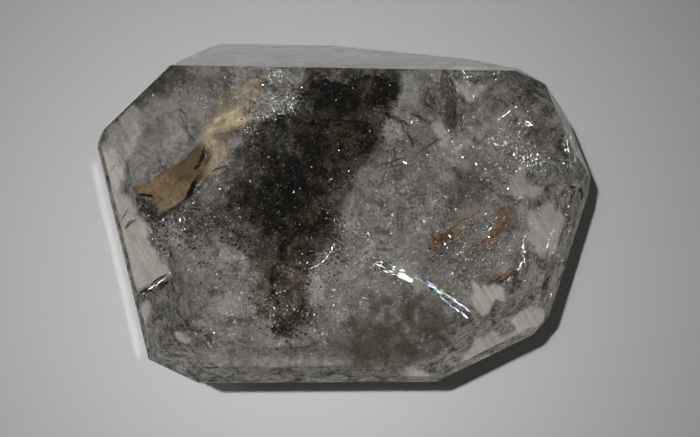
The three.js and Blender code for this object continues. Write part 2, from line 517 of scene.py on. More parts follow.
def film_material(name, dark, light, strength, patch=260.0, dots=2600.0, cover=0.5, dotted=0.5, glow=0.0):
    """A thin film that hides what is behind it, and can pass on light that falls on its far side."""
    material, tree, shader = new_material(name)
    pattern = mottled(tree, patch, dots, cover, dotted)
    alpha = hiding(tree, pattern, strength)
    tint = mix_colours(tree, pattern["Tone"], dark, light)
    if glow:
        inward = node(tree, "ShaderNodeNewGeometry").outputs["Backfacing"]
        alpha = product(tree, alpha, between(tree, inward, FOG_OUTSIDE, 1.0))
        passed = mix_colours(tree, product(tree, alpha, glow), (0.0, 0.0, 0.0), tint)
        behind = node(tree, "ShaderNodeBsdfTranslucent", {"Color": passed})
        both = node(tree, "ShaderNodeAddShader", {0: shader.outputs[0], 1: behind.outputs[0]})
        set_values(tree, tree.nodes["Material Output"], Surface=both.outputs[0])
    set_values(tree, shader, Base_Color=tint, Alpha=alpha, Roughness=0.6, Specular_IOR_Level=0.1)
    return material


def silky_material(name, dark, light, strength, heading):
    """A stained film whose fine fibres run along a heading, in degrees."""
    material, tree, shader = new_material(name)
    lines = streaked(tree, scale=1000.0, stretch=0.07, heading=-heading)
    pattern = mottled(tree, patch=330.0, dots=2600.0, cover=0.72, dotted=0.15)
    alpha = product(tree, hiding(tree, pattern, strength), between(tree, lines, 0.45, 1.0))
    shade = product(tree, lines, between(tree, pattern["Tone"], 0.35, 1.0))
    tint = mix_colours(tree, shade, dark, light)
    set_values(tree, shader, Base_Color=tint, Alpha=alpha, Roughness=0.5, Specular_IOR_Level=0.3)
    return material


def crack_material(name):
    """An open crack: a thin, softly rippled mirror that hides part of what is behind it."""
    material, tree, shader = new_material(name)
    pattern = mottled(tree, patch=900.0, dots=3000.0, cover=0.5, dotted=0.15)
    tone = pattern["Tone"]
    set_values(
        tree,
        shader,
        Base_Color=mix_colours(tree, tone, (0.2, 0.19, 0.18), (0.9, 0.89, 0.87)),
        Alpha=hiding(tree, pattern, strength=0.6),
        Roughness=between(tree, tone, 0.36, 0.2),
        Normal=bump(tree, tone, strength=0.9, depth=0.12),
        Metallic=1.0,
    )
    return material


def striated_material(name, dark, light, strength):
    """A pale plane of painted light, standing in for the light seen through clear quartz, with fine growth
    lines.
    """
    material, tree, shader = new_material(name)
    lines = streaked(tree, scale=1900.0, stretch=0.08, heading=62)
    pattern = mottled(tree, patch=300.0, dots=2600.0, cover=0.85, dotted=0.15)
    tint = mix_colours(tree, lines, dark, light)
    alpha = hiding(tree, pattern, strength)
    set_values(tree, shader, Base_Color=tint, Alpha=alpha, Roughness=0.6, Specular_IOR_Level=0.1)
    return material


def hydrocarbon_material(name, black, brown, grey):
    """Black bitumen with brown earthy patches and greyer ones, both worked out per point and broken up."""
    material, tree, shader = new_material(name)
    broad = mottled(tree, patch=700.0, dots=3000.0, cover=0.62, dotted=0.2)
    fine = mottled(tree, patch=2600.0, dots=9000.0, cover=0.5, dotted=0.3)
    earthy = product(tree, point_value(tree, "brown"), broad["Mask"], fine["Tone"])
    cloudy = product(tree, point_value(tree, "grey"), fine["Tone"], broad["Tone"])
    base = mix_colours(tree, product(tree, fine["Mask"], 0.22), black, brown)
    base = mix_colours(tree, earthy, base, brown)
    set_values(
        tree,
        shader,
        Base_Color=mix_colours(tree, cloudy, base, grey),
        Roughness=between(tree, fine["Tone"], 0.35, 0.75),
        Normal=bump(tree, fine["Tone"], strength=0.8, depth=0.1),
        Specular_IOR_Level=0.12,
    )
    return material


def grain_material(name, dark, middle, light):
    """Loose grains, each with its own tone from dark through brown to pale."""
    material, tree, shader = new_material(name)
    tone = point_value(tree, "tone")
    fine = mottled(tree, patch=1500.0, dots=6000.0, cover=0.5, dotted=0.3)
    lower = mix_colours(tree, range_node(tree, tone, 0.35, 0.6), dark, middle)
    upper = mix_colours(tree, range_node(tree, tone, 0.75, 1.0), lower, light)
    shade = mix_colours(tree, fine["Tone"], dark, upper)
    rough = between(tree, tone, 0.75, 0.35)
    set_values(tree, shader, Base_Color=shade, Roughness=rough, Specular_IOR_Level=0.2)
    return material


def clay_finish(tree, shader, tint, tone):
    """The dull, finely pitted finish of earthy minerals."""
    set_values(
        tree,
        shader,
        Base_Color=tint,
        Roughness=between(tree, tone, 0.6, 0.85),
        Normal=bump(tree, tone, strength=0.6, depth=0.08),
        Specular_IOR_Level=0.1,
    )


def earthy_material(name, first, second):
    """A dull earthy mineral in two mottled tones."""
    material, tree, shader = new_material(name)
    pattern = mottled(tree, patch=520.0, dots=3200.0, cover=0.5, dotted=0.35)
    blotched = mix_colours(tree, pattern["Mask"], first, second)
    tint = mix_colours(tree, pattern["Tone"], scaled(first, 0.72), blotched)
    clay_finish(tree, shader, tint, pattern["Tone"])
    return material


def flake_material(name, pale, dark):
    """Brown clay, darker where the point value says so, with fine dark grain in it."""
    material, tree, shader = new_material(name)
    broad = mottled(tree, patch=420.0, dots=3200.0, cover=0.5, dotted=0.1)
    fine = mottled(tree, patch=1800.0, dots=7000.0, cover=0.5, dotted=0.3)
    darker = product(tree, point_value(tree, "shade"), 0.6)
    shade = total(tree, product(tree, broad["Mask"], 0.45), darker, clamp=True)
    blotched = mix_colours(tree, shade, pale, dark)
    tint = mix_colours(tree, product(tree, fine["Tone"], 0.7), blotched, dark)
    clay_finish(tree, shader, tint, fine["Tone"])
    return material


def glint_material():
    """Tiny crack facets: thin mirrors whose tone changes from one to the next."""
    material, tree, shader = new_material("crack_glint")
    tone = point_value(tree, "tone")
    set_values(
        tree,
        shader,
        Base_Color=mix_colours(tree, tone, (0.22, 0.22, 0.22), (0.95, 0.94, 0.92)),
        Alpha=between(tree, tone, 0.2, 0.85),
        Roughness=between(tree, tone, 0.62, 0.34),
        Metallic=1.0,
    )
    return material


def painted_highlight_material(name):
    """A crack's open edge whose white colour is a painted highlight; its strong specular also mirrors the
    glint lamp.
    """
    material, tree, shader = new_material(name)
    # The mottled white tint is the painted highlight.
    worn = mottled(tree, patch=900.0, dots=5000.0, cover=0.6, dotted=0.2)["Mask"]
    tint = mix_colours(tree, worn, (0.55, 0.55, 0.56), (1.0, 1.0, 1.0))
    rough = between(tree, worn, 0.4, 0.2)
    set_values(tree, shader, Base_Color=tint, Roughness=rough, Specular_IOR_Level=1.0)
    return material


def streak_material(name, saturation):
    """Thin bright facets, each with a tint of its own that changes along it."""
    material, tree, shader = new_material(name)
    lines = streaked(tree, scale=700.0, stretch=0.3, heading=27)
    hue = product(tree, total(tree, lines, point_value(tree, "tone")), 0.5)
    tint = node(tree, "ShaderNodeCombineColor", {0: hue, 1: saturation, 2: 1.0}, mode="HSV")
    rough = between(tree, lines, 0.22, 0.4)
    set_values(tree, shader, Base_Color=tint.outputs[0], Roughness=rough, Metallic=1.0)
    return material


# ---------------------------------------------------------------------------
# Settings
# ---------------------------------------------------------------------------


class CrystalSettings(bpy.types.PropertyGroup):
    """The clear crystal's finish"""

    edge_wear: bpy.props.FloatProperty(
        name="Edge Wear",
        description="Width of the worn strip along each edge",
        default=0.08 * MM,
        min=0.02 * MM,
        max=1 * MM,
        unit="LENGTH",
    )
    relief: bpy.props.FloatProperty(
        name="Growth Relief",
        description="Height of the slow swells on the grown faces",
        default=0.02 * MM,
        min=0.0,
        max=0.2 * MM,
        unit="LENGTH",
    )
    relief_strength: bpy.props.FloatProperty(
        name="Fine Relief",
        description="Strength of the fine striations in the surface",
        default=0.35,
        min=0.0,
        max=1.0,
        subtype="FACTOR",
    )
    smoke_colour: bpy.props.FloatVectorProperty(
        name="Smoke Colour",
        description="Colour that light keeps as it crosses the quartz",
        default=(0.62, 0.57, 0.52),
        subtype="COLOR",
        min=0.0,
        max=1.0,
    )
    smoke_density: bpy.props.FloatProperty(
        name="Smoke Density",
        description="How strongly the quartz absorbs, per metre",
        default=14.0,
        min=0.0,
        subtype="UNSIGNED",
    )
    lamp_share: bpy.props.FloatVectorProperty(
        name="Lamp Share",
        description="Share of a lamp's light that reaches what is inside",
        default=(0.76, 0.76, 0.76),
        subtype="COLOR",
        min=0.0,
        max=1.0,
    )
    shadow_share: bpy.props.FloatVectorProperty(
        name="Shadow Share",
        description="Share of that light that goes on through to the floor's shadow",
        default=(0.05, 0.046, 0.04),
        subtype="COLOR",
        min=0.0,
        max=1.0,
    )


class InclusionSettings(bpy.types.PropertyGroup):
    """What is sealed in the crystal"""

    hydrocarbon_colour: bpy.props.FloatVectorProperty(
        name="Hydrocarbon",
        description="Colour of the black mass",
        default=(0.0035, 0.003, 0.0026),
        subtype="COLOR",
    )
    grain_count: bpy.props.IntProperty(
        name="Loose Grains",
        description="Black grains scattered round the mass",
        default=8000,
        min=100,
        max=20000,
        subtype="UNSIGNED",
    )
    clay_colour: bpy.props.FloatVectorProperty(
        name="Clay",
        description="Colour of the brown flake",
        default=(0.165, 0.115, 0.06),
        subtype="COLOR",
    )
    gold_colour: bpy.props.FloatVectorProperty(
        name="Gold Stain",
        description="Deeper colour of the golden crack",
        default=(0.27, 0.18, 0.075),
        subtype="COLOR",
    )
    cream_colour: bpy.props.FloatVectorProperty(
        name="Cream Stain",
        description="Paler colour of the golden crack",
        default=(0.6, 0.5, 0.315),
        subtype="COLOR",
    )
    smoke_stain: bpy.props.FloatVectorProperty(
        name="Smoke Stain",
        description="Colour of the soft dark stains",
        default=(0.03, 0.024, 0.017),
        subtype="COLOR",
    )
    rust_colour: bpy.props.FloatVectorProperty(
        name="Rust Stain",
        description="Colour of the orange-brown fibres",
        default=(0.25, 0.12, 0.035),
        subtype="COLOR",
    )


class VeilSettings(bpy.types.PropertyGroup):
    """Healed cracks and glints"""

    veil_colour: bpy.props.FloatVectorProperty(
        name="Veil",
        description="Colour of the cloudy healed cracks",
        default=(0.345, 0.33, 0.305),
        subtype="COLOR",
    )
    # The pale planes' colour is painted light, standing in for the light seen through clear quartz.
    window_light_colour: bpy.props.FloatVectorProperty(
        name="Pale Planes",
        description="Colour of the pale planes seen through clear quartz",
        default=(0.52, 0.478, 0.435),
        subtype="COLOR",
    )
    glint_count: bpy.props.IntProperty(
        name="Glints",
        description="Small mirror facets in the cracks",
        default=18000,
        min=100,
        max=40000,
        subtype="UNSIGNED",
    )
    seed: bpy.props.IntProperty(
        name="Seed",
        description="Start of the random draws",
        default=11,
        min=0,
        subtype="UNSIGNED",
    )


class StageSettings(bpy.types.PropertyGroup):
    """Camera, light and floor"""

    camera_height: bpy.props.FloatProperty(
        name="Camera Distance",
        description="From the lens to the crystal's middle",
        default=190.9 * MM,
        unit="LENGTH",
    )
    lens: bpy.props.FloatProperty(
        name="Lens",
        description="Focal length",
        default=69.56,
        unit="CAMERA",
    )
    key_power: bpy.props.FloatProperty(
        name="Key Power",
        description="Power of the lamp beside the lens",
        default=0.054,
        unit="POWER",
    )
    glint_power: bpy.props.FloatProperty(
        name="Glint Power",
        description="Power of the far lamp that only shiny facets mirror",
        default=2.6,
        unit="POWER",
    )
    throw_power: bpy.props.FloatProperty(
        name="Thrown Light",
        description="Power of the light that the crystal throws on the floor beside it",
        default=0.000034,
        precision=6,
        unit="POWER",
    )
    surround: bpy.props.FloatProperty(
        name="Surround",
        description="Brightness of the plain grey surroundings",
        default=0.05,
        min=0.0,
        subtype="FACTOR",
    )
    floor_colour: bpy.props.FloatVectorProperty(
        name="Floor",
        description="Colour of the plain pale floor",
        default=(0.47, 0.472, 0.47),
        subtype="COLOR",
    )


# ---------------------------------------------------------------------------
# The crystal
# ---------------------------------------------------------------------------

RELIEF_STEP = 1.6  # mm between the cuts that carry the growth relief
RELIEF_RIM = 0.1  # mm along each edge that stay flat
RELIEF_EDGE = 1.2  # mm over which the relief dies away towards an edge
RELIEF_SIZE = 9.0  # mm from one swell to the next
RELIEF_SEED = 5
RELIEF_SUNK = 0.9  # how far the swells are lowered, so that nearly all of them lie under the flat face
ON_FACE = 0.01  # mm under a face, within which a point counts as lying on it
SHARP_ANGLE = 12.0  # degrees between two faces that meet in a sharp edge


def worn_crystal(settings):
    """The crystal with softly worn edges and slow swells on its faces, as a bmesh in metres."""
    shape = crystal_hull()
    bmesh.ops.bevel(
        shape,
        geom=shape.edges[:],
        offset=settings.edge_wear / MM,
        offset_type="OFFSET",
        segments=2,
        profile=0.6,
        affect="EDGES",
        clamp_overlap=True,
    )
    for axis in range(3):
        for place in np.arange(LOW[axis] + RELIEF_STEP, HIGH[axis], RELIEF_STEP):
            across = Vector((0, 0, 0))
            across[axis] = 1.0
            everything = shape.verts[:] + shape.edges[:] + shape.faces[:]
            bmesh.ops.bisect_plane(shape, geom=everything, plane_co=across * place, plane_no=across)
    points = np.array([vertex.co[:] for vertex in shape.verts])
    gaps = DISTANCES - points @ NORMALS.T
    nearest = gaps.argmin(1)
    gaps = np.sort(gaps, axis=1)
    fade = smoothstep(RELIEF_RIM, RELIEF_EDGE, gaps[:, 1]) * (gaps[:, 0] < ON_FACE)
    swell = Ripple(RELIEF_SEED, RELIEF_SIZE)(points) - RELIEF_SUNK
    moved = points + NORMALS[nearest] * (swell * fade * settings.relief / MM)[:, None]
    for vertex, place in zip(shape.verts, moved):
        vertex.co = Vector(place * MM)
    bmesh.ops.triangulate(shape, faces=[face for face in shape.faces if len(face.verts) > 4])
    return shape


class QUARTZ_OT_crystal(bpy.types.Operator):
    """Build the clear crystal that stands for both halves"""

    bl_idname = "quartz.crystal"
    bl_label = "Clear Crystal"

    def execute(self, context):
        settings = context.scene.quartz_crystal
        shape = worn_crystal(settings)
        mesh = bpy.data.meshes.new("quartz_crystal")
        shape.to_mesh(mesh)
        shape.free()
        crystal = add_mesh("quartz_crystal", mesh, quartz_material(settings), smooth=True)
        mesh.set_sharp_from_angle(angle=math.radians(SHARP_ANGLE))
        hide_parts(*CRYSTAL_HALVES)
        return {"FINISHED"}


# ---------------------------------------------------------------------------
# The black mass and its grains
# ---------------------------------------------------------------------------

# How grains and facets vary in size: the middle size's logarithm, its spread, the least and the most, in mm.
Sizes = namedtuple("Sizes", "middle spread least most")
BLACK_SIZES = Sizes(-2.45, 0.5, 0.04, 0.25)
BROWN_SIZES = Sizes(-2.4, 0.45, 0.04, 0.25)

# Sprays of loose grains beyond the mass: middle, reach and number of grains, in mm.
Cloud = namedtuple("Cloud", "middle reach count")
BLACK_CLOUDS = (
    Cloud((-20.5, -3.4, 27.4), (2.9, 1.9, 0.2), 260),
    Cloud((-14.0, -5.6, 27.6), (1.2, 1.3, 0.2), 160),
    Cloud((-26.6, -1.4, 24.6), (0.6, 0.7, 0.4), 160),
    Cloud((-9.3, -14.0, 23.4), (1.7, 2.3, 0.8), 1100),
    Cloud((-11.4, 15.4, 24.6), (1.4, 0.7, 0.5), 220),
    Cloud((-10.0, 10.6, 24.8), (1.5, 0.8, 0.5), 200),
    Cloud((-3.0, -4.5, 24.0), (1.3, 3.4, 0.9), 380),
    Cloud((5.4, 11.5, 24.0), (0.9, 3.4, 0.8), 320),
    Cloud((-18.0, -8.5, 23.5), (4.6, 2.4, 1.2), 110),
    Cloud((25.6, 13.2, 23.0), (1.1, 0.6, 0.5), 170),
    Cloud((-24.0, -16.9, 24.4), (3.0, 0.25, 0.3), 80),
    Cloud((-5.8, -23.6, 27.2), (2.4, 0.3, 0.3), 120),
    Cloud((5.0, -23.6, 27.2), (4.4, 0.5, 0.3), 160),
    Cloud((-12.6, 10.4, 27.4), (0.7, 1.3, 0.3), 260),
    Cloud((-26.0, -2.2, 26.0), (0.7, 0.8, 0.3), 160),
)
BROWN_CLOUDS = (
    Cloud((-6.6, -11.6, 23.8), (0.7, 2.3, 0.6), 420),
    Cloud((-8.6, -15.5, 23.4), (1.9, 1.2, 0.7), 330),
    Cloud((-3.2, -3.5, 24.5), (0.9, 3.2, 0.6), 200),
    Cloud((-11.8, -8.4, 24.0), (1.2, 0.9, 0.5), 160),
    Cloud((12.2, -6.6, 22.4), (1.6, 1.3, 0.6), 200),
    Cloud((-12.5, -13.0, 23.4), (0.5, 1.9, 0.5), 130),
)

# Brown and grey patches on the black mass: middle and reach, in mm.
BROWN_PATCHES = (
    ((0.0, 7.6), 2.6),
    ((-2.2, 3.6), 2.0),
    ((-5.2, -2.2), 1.6),
    ((-3.2, 9.9), 1.5),
    ((2.6, 10.6), 1.8),
    ((2.2, 14.2), 1.6),
    ((-6.8, -6.4), 1.5),
    ((-8.4, -10.4), 1.9),
    ((-8.2, -14.0), 1.6),
    ((-15.5, -2.6), 1.2),
)
GREY_PATCHES = (
    ((-13.2, 4.2), 2.8),
    ((-9.0, 7.6), 2.6),
    ((-6.4, 11.6), 2.0),
    ((-5.6, 15.6), 1.8),
    ((-16.2, 1.2), 1.8),
    ((-12.8, 9.0), 2.2),
    ((-2.2, -0.4), 1.4),
    ((-18.5, -2.4), 2.2),
    ((-10.6, -6.0), 1.4),
)


def roughened_node(name, voxel, swells, inward=0.0, hollows=()):
    """A CAD node's shape, remeshed, drawn in and pushed about by several ripples, as a mesh in metres."""
    source = bpy.data.objects.new("working_copy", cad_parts[name].data.copy())
    bpy.context.scene.collection.objects.link(source)
    remesh = source.modifiers.new("remesh", "REMESH")
    remesh.mode = "VOXEL"
    remesh.voxel_size = voxel * MM
    shown = source.evaluated_get(bpy.context.evaluated_depsgraph_get())
    mesh = bpy.data.meshes.new_from_object(shown)
    bpy.data.objects.remove(source)
    count = len(mesh.vertices)
    points = np.empty(count * 3)
    ways = np.empty(count * 3, dtype=np.float32)
    mesh.vertices.foreach_get("co", points)
    mesh.vertices.foreach_get("normal", ways)
    points = points.reshape(-1, 3) / MM
    ways = ways.reshape(-1, 3)
    drawn = np.full(count, inward)
    for middle, reach, depth in hollows:
        drawn += depth * (1 - smoothstep(0, reach, np.linalg.norm(points[:, :2] - middle, axis=1)))
    points = points - ways * drawn[:, None]
    for seed, size, height in swells:
        points = points + ways * (Ripple(seed, size, octaves=3)(points) * height)[:, None]
    mesh.vertices.foreach_set("co", (points * MM).ravel())
    return mesh, points


OCTAHEDRON = np.array([(1, 0, 0), (-1, 0, 0), (0, 1, 0), (0, -1, 0), (0, 0, 1), (0, 0, -1)], dtype=float)
OCTAHEDRON_FACES = np.array(
    [(0, 2, 4), (2, 1, 4), (1, 3, 4), (3, 0, 4), (2, 0, 5), (1, 2, 5), (3, 1, 5), (0, 3, 5)]
)
GRAIN_ROOM = 0.3  # mm more between a grain's middle and the crystal's faces than other points need
GRAIN_STRETCH = (0.55, 1.25)  # least and most by which each corner of a grain is drawn out


def angular_grains(centres, sizes, draw):
    """Small angular grains, each an uneven octahedron of its own, and which of them fit in the crystal."""
    keep = depth_inside(centres) > FACE_MARGIN + GRAIN_ROOM
    centres, sizes = centres[keep], sizes[keep]
    shape = OCTAHEDRON * draw.uniform(*GRAIN_STRETCH, (len(centres), 6, 1))
    turns = np.linalg.qr(draw.normal(size=(len(centres), 3, 3)))[0]
    points = np.einsum("nij,njk->nik", shape, turns) * sizes[:, None, None] + centres[:, None, :]
    faces = OCTAHEDRON_FACES[None] + (np.arange(len(centres)) * 6)[:, None, None]
    return points.reshape(-1, 3), faces.reshape(-1, 3), keep


def lumpy_sizes(sizes, count, draw):
    """Random sizes, most of them near the middle one and a few much larger."""
    return np.clip(draw.lognormal(sizes.middle, sizes.spread, count), sizes.least, sizes.most)


def add_grains(name, centres, sizes, tones, material, slot, draw):
    """A piece of loose grains, each with a tone of its own."""
    points, faces, keep = angular_grains(centres, sizes, draw)
    add_piece(name, points, faces, material, slot, tone=np.repeat(tones[keep], 6))


PATCH_RIPPLE = 2.4  # mm from one bulge in a patch's edge to the next
PATCH_RAGGED = 0.5  # size of those bulges, as a share of the patch's reach
PATCH_EDGE = (0.5, 1.2)  # where a patch starts and ends its fading, as a share of its reach


def patchiness(points, patches, seed):
    """How far points lie within ragged round patches, from 0 to 1."""
    ragged = Ripple(seed, PATCH_RIPPLE)(points) * PATCH_RAGGED
    shares = []
    for middle, reach in patches:
        away = np.hypot(*(points[:, :2] - middle).T) / reach + ragged
        shares.append(1 - smoothstep(*PATCH_EDGE, away))
    return np.max(shares, axis=0)


def clouded(clouds, draw):
    """Random places in several clouds."""
    return np.concatenate([draw.normal(cloud.middle, cloud.reach, (cloud.count, 3)) for cloud in clouds])


# The soot that fills the cracks round and over the mass.
SOOT_OUTLINE = (
    (-5.4, 18.2), (7.6, 18.2), (6.9, 14.6), (5.9, 11.9), (4.8, 10.0), (3.4, 6.7), (2.0, 4.8),
    (0.8, 2.4), (-0.4, 0.3), (-1.5, -1.6), (-2.4, -3.6), (-3.4, -5.1), (-3.9, -7.2), (-5.4, -9.3),
    (-6.4, -11.5), (-7.3, -14.1), (-8.7, -16.0), (-10.9, -16.4), (-12.2, -15.7), (-12.5, -13.3),
    (-12.6, -10.7), (-13.1, -8.4), (-14.0, -6.5), (-16.6, -5.8), (-18.1, -3.4), (-18.3, -0.8),
    (-17.4, 1.8), (-16.1, 4.4), (-15.1, 7.0), (-13.7, 8.9), (-11.5, 10.2), (-9.1, 10.5), (-7.5, 11.7),
    (-6.7, 13.8), (-6.0, 15.6),
)
SOOT_ARM_OUTLINE = (
    (-23.9, -1.6), (-19.7, -0.1), (-15.2, -1.3), (-12.6, -3.7), (-13.3, -6.4), (-16.6, -5.9),
    (-19.8, -5.4), (-22.9, -4.8),
)
TAIL_OUTLINE = (
    (-12.8, -8.4), (-6.6, -7.9), (-6.2, -11.2), (-7.5, -14.5), (-8.8, -16.8), (-11.9, -16.6),
    (-12.7, -13.3),
)
SOOT_LEVEL = 27.7  # mm
SOOT_BED = 24.3  # below the top of the mass, so that it shows only beside it
TAIL_LEVEL = 28.2
SOOT_WRINKLE = 0.15
SOOT_MARGIN = 0.15  # mm from the soot to the crystal's faces, which it nearly reaches

MASS_VOXEL = 0.24  # mm
MASS_DRAWN_IN = 0.7  # mm
# Where the mass is drawn in further: middle, reach and depth, in mm.
MASS_HOLLOWS = (((1.0, 0.0), 6.5, 1.3), ((-9.2, -18.5), 4.5, 1.6))
MASS_SWELLS = ((21, 5.0, 0.5), (22, 1.6, 0.35), (23, 0.6, 0.2))  # seed, size and height in mm of each ripple
BROWN_SEED = 24
GREY_SEED = 25
GRAIN_SEED = 31
GRAIN_SCATTER = (0.4, 0.4, 0.25)  # mm off the mass's skin
# The brightest tone of a plain black grain, and what a brown or a grey patch adds to it.
DULL_TONE = 0.62
BROWN_LIFT = 0.3
GREY_LIFT = 0.45
TAN_TONE = 0.2  # the darkest tone of a brown grain

EARTH_BROWN = (0.21, 0.15, 0.085)
ASH_GREY = (0.23, 0.215, 0.195)
GRAIN_UMBER = (0.11, 0.08, 0.045)
GRAIN_PALE = (0.3, 0.28, 0.24)
GRAIN_TAN = (0.34, 0.22, 0.12)
SOOT_BROWN = (0.19, 0.152, 0.1)
BED_BROWN = (0.05, 0.04, 0.027)
DUST_DARK = (0.05, 0.04, 0.028)
DUST_PALE = (0.36, 0.29, 0.2)


class QUARTZ_OT_hydrocarbon(bpy.types.Operator):
    """Build the black hydrocarbon mass with the grains round it"""

    bl_idname = "quartz.hydrocarbon"
    bl_label = "Black Hydrocarbon"

    def execute(self, context):
        settings = context.scene.quartz_inclusions
        black = tuple(settings.hydrocarbon_colour)
        skin = self.add_mass(black)
        self.add_loose_grains(settings, black, skin)
        self.add_soot(black)
        return {"FINISHED"}

    def add_mass(self, black):
        mesh, skin = roughened_node("black_inclusion", MASS_VOXEL, MASS_SWELLS, MASS_DRAWN_IN, MASS_HOLLOWS)
        brown, grey = patchiness(skin, BROWN_PATCHES, BROWN_SEED), patchiness(skin, GREY_PATCHES, GREY_SEED)
        store(mesh, brown=brown, grey=grey)
        material = hydrocarbon_material("black_hydrocarbon", black, EARTH_BROWN, ASH_GREY)
        mass = add_mesh("black_mass", mesh, material)
        mass.visible_shadow = False
        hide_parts("black_inclusion")
        return skin

    def add_loose_grains(self, settings, black, skin):
        draw = np.random.default_rng(GRAIN_SEED)
        chosen = skin[draw.integers(0, len(skin), settings.grain_count)]
        chosen = chosen + draw.normal(size=chosen.shape) * GRAIN_SCATTER
        centres = np.concatenate([chosen, clouded(BLACK_CLOUDS, draw)])
        sizes = lumpy_sizes(BLACK_SIZES, len(centres), draw)
        tones = draw.uniform(0, DULL_TONE, len(centres))
        tones += BROWN_LIFT * patchiness(centres, BROWN_PATCHES, BROWN_SEED)
        tones += GREY_LIFT * patchiness(centres, GREY_PATCHES, GREY_SEED)
        grain = grain_material("black_grains", black, GRAIN_UMBER, GRAIN_PALE)
        add_grains("black_grains", centres, sizes, np.clip(tones, 0, 1), grain, "black_hydrocarbon", draw)
        centres = clouded(BROWN_CLOUDS, draw)
        sizes = lumpy_sizes(BROWN_SIZES, len(centres), draw)
        tones = draw.uniform(TAN_TONE, 1, len(centres))
        grain = grain_material("brown_grains", black, tuple(settings.clay_colour), GRAIN_TAN)
        add_grains("brown_grains", centres, sizes, tones, grain, "brown_clay", draw)

    def add_soot(self, black):
        look = dict(patch=520.0, dots=4500.0, dotted=0.8)
        soot = film_material("soot", black, SOOT_BROWN, strength=1.1, **look)
        near = dict(wrinkle=SOOT_WRINKLE, margin=SOOT_MARGIN)
        spread = film(SOOT_OUTLINE, SOOT_LEVEL, soft=0.5, ragged=0.5, seed=33, **near)
        arm = film(SOOT_ARM_OUTLINE, SOOT_LEVEL, wrinkle=SOOT_WRINKLE, soft=1.6, ragged=1.2, seed=35)
        add_sheets("soot_film", [spread, arm], soot, "black_hydrocarbon")
        look = dict(patch=700.0, dots=4500.0, cover=0.7, dotted=0.4)
        deep = film_material("deep_soot", black, BED_BROWN, strength=1.8, **look)
        spread = film(SOOT_OUTLINE, SOOT_BED, soft=0.5, ragged=0.5, seed=33, **near)
        arm = film(SOOT_ARM_OUTLINE, SOOT_BED, soft=1.4, ragged=1.4, seed=39, **near)
        add_sheets("soot_bed", [spread, arm], deep, "black_hydrocarbon")
        look = dict(patch=900.0, dots=4500.0, cover=0.6, dotted=0.7)
        dusty = film_material("dust", DUST_DARK, DUST_PALE, strength=1.0, **look)
        tail = film(TAIL_OUTLINE, TAIL_LEVEL, wrinkle=SOOT_WRINKLE, soft=0.7, ragged=0.6, seed=37)
        add_sheets("tail_dust", [tail], dusty, "brown_clay")


# ---------------------------------------------------------------------------
# The brown flake and the golden crack beside it
# ---------------------------------------------------------------------------

FAN_OUTLINE = (
    (-19.6, 8.4), (-19.6, 10.6), (-17.8, 12.8), (-14.8, 14.6), (-11.6, 15.8), (-11.0, 14.3),
    (-12.0, 12.4), (-15.6, 10.4), (-18.6, 8.8),
)
STREAK_OUTLINE = (
    (-19.7, 7.9), (-18.8, 9.4), (-15.8, 11.4), (-12.4, 12.9), (-11.9, 11.5), (-13.4, 9.4), (-15.8, 8.0),
    (-18.4, 7.4),
)
APRON_OUTLINE = (
    (-19.4, 8.4), (-17.6, 8.0), (-15.6, 7.5), (-15.9, 5.7), (-16.6, 4.4), (-18.2, 3.2), (-20.2, 2.2),
    (-19.3, 4.0), (-18.6, 5.4),
)
OCHRE_OUTLINE = ((-14.2, 14.2), (-12.6, 15.9), (-11.2, 15.9), (-11.4, 14.8), (-12.9, 14.1))
FAN_HEADING = 44.0  # degrees
STREAK_HEADING = 24.0
APRON_HEADING = -75.0
GOLD_HUB = (-19.4, 8.2, 26.1)
GOLD_ENDS = (
    (-11.9, 15.3, 26.3),
    (-12.2, 12.8, 26.6),
    (-12.8, 11.4, 26.4),
    (-14.0, 9.4, 26.3),
    (-17.8, 3.5, 26.0),
)

FAN_LEVEL = 25.9  # mm
STREAK_LEVEL = 26.4
APRON_LEVEL = 25.6
OCHRE_LEVEL = 26.2
FAN_SLOPE = (0.02, 0.03)
THREAD_SEED = 51
OCHRE_DEEP = (0.2, 0.11, 0.02)
OCHRE_PALE = (0.42, 0.28, 0.08)

FLAKE_VOXEL = 0.16  # mm
FLAKE_SWELLS = ((41, 4.0, 0.12), (42, 0.9, 0.08), (43, 0.35, 0.05))  # seed, size and height in mm
FLAKE_PALE = np.array([-25.5, 0.5])  # mm, the flake's pale end
FLAKE_WAY = np.array([0.09, 0.105])  # per mm, towards its dark end
FLAKE_SEED = 44
FLAKE_BLOTCH = 2.0  # mm from one darker blotch to the next
FLAKE_UNEVEN = 0.15  # how much the blotches shift the change from pale to dark
FLAKE_TURN = (0.15, 0.7)  # where along the flake it starts and ends getting darker


class QUARTZ_OT_brown_flake(bpy.types.Operator):
    """Build the brown clay-coated flake"""

    bl_idname = "quartz.brown_flake"
    bl_label = "Brown Flake"

    def execute(self, context):
        settings = context.scene.quartz_inclusions
        mesh, skin = roughened_node("brown_flake", FLAKE_VOXEL, FLAKE_SWELLS)
        along = (skin[:, :2] - FLAKE_PALE) @ FLAKE_WAY
        along += FLAKE_UNEVEN * Ripple(FLAKE_SEED, FLAKE_BLOTCH)(skin)
        store(mesh, shade=smoothstep(*FLAKE_TURN, along))
        clay = tuple(settings.clay_colour)
        material = flake_material("brown_clay", scaled(clay, 1.75), scaled(clay, 0.35))
        flake = add_mesh("clay_flake", mesh, material, smooth=True)
        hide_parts("brown_flake")
        return {"FINISHED"}


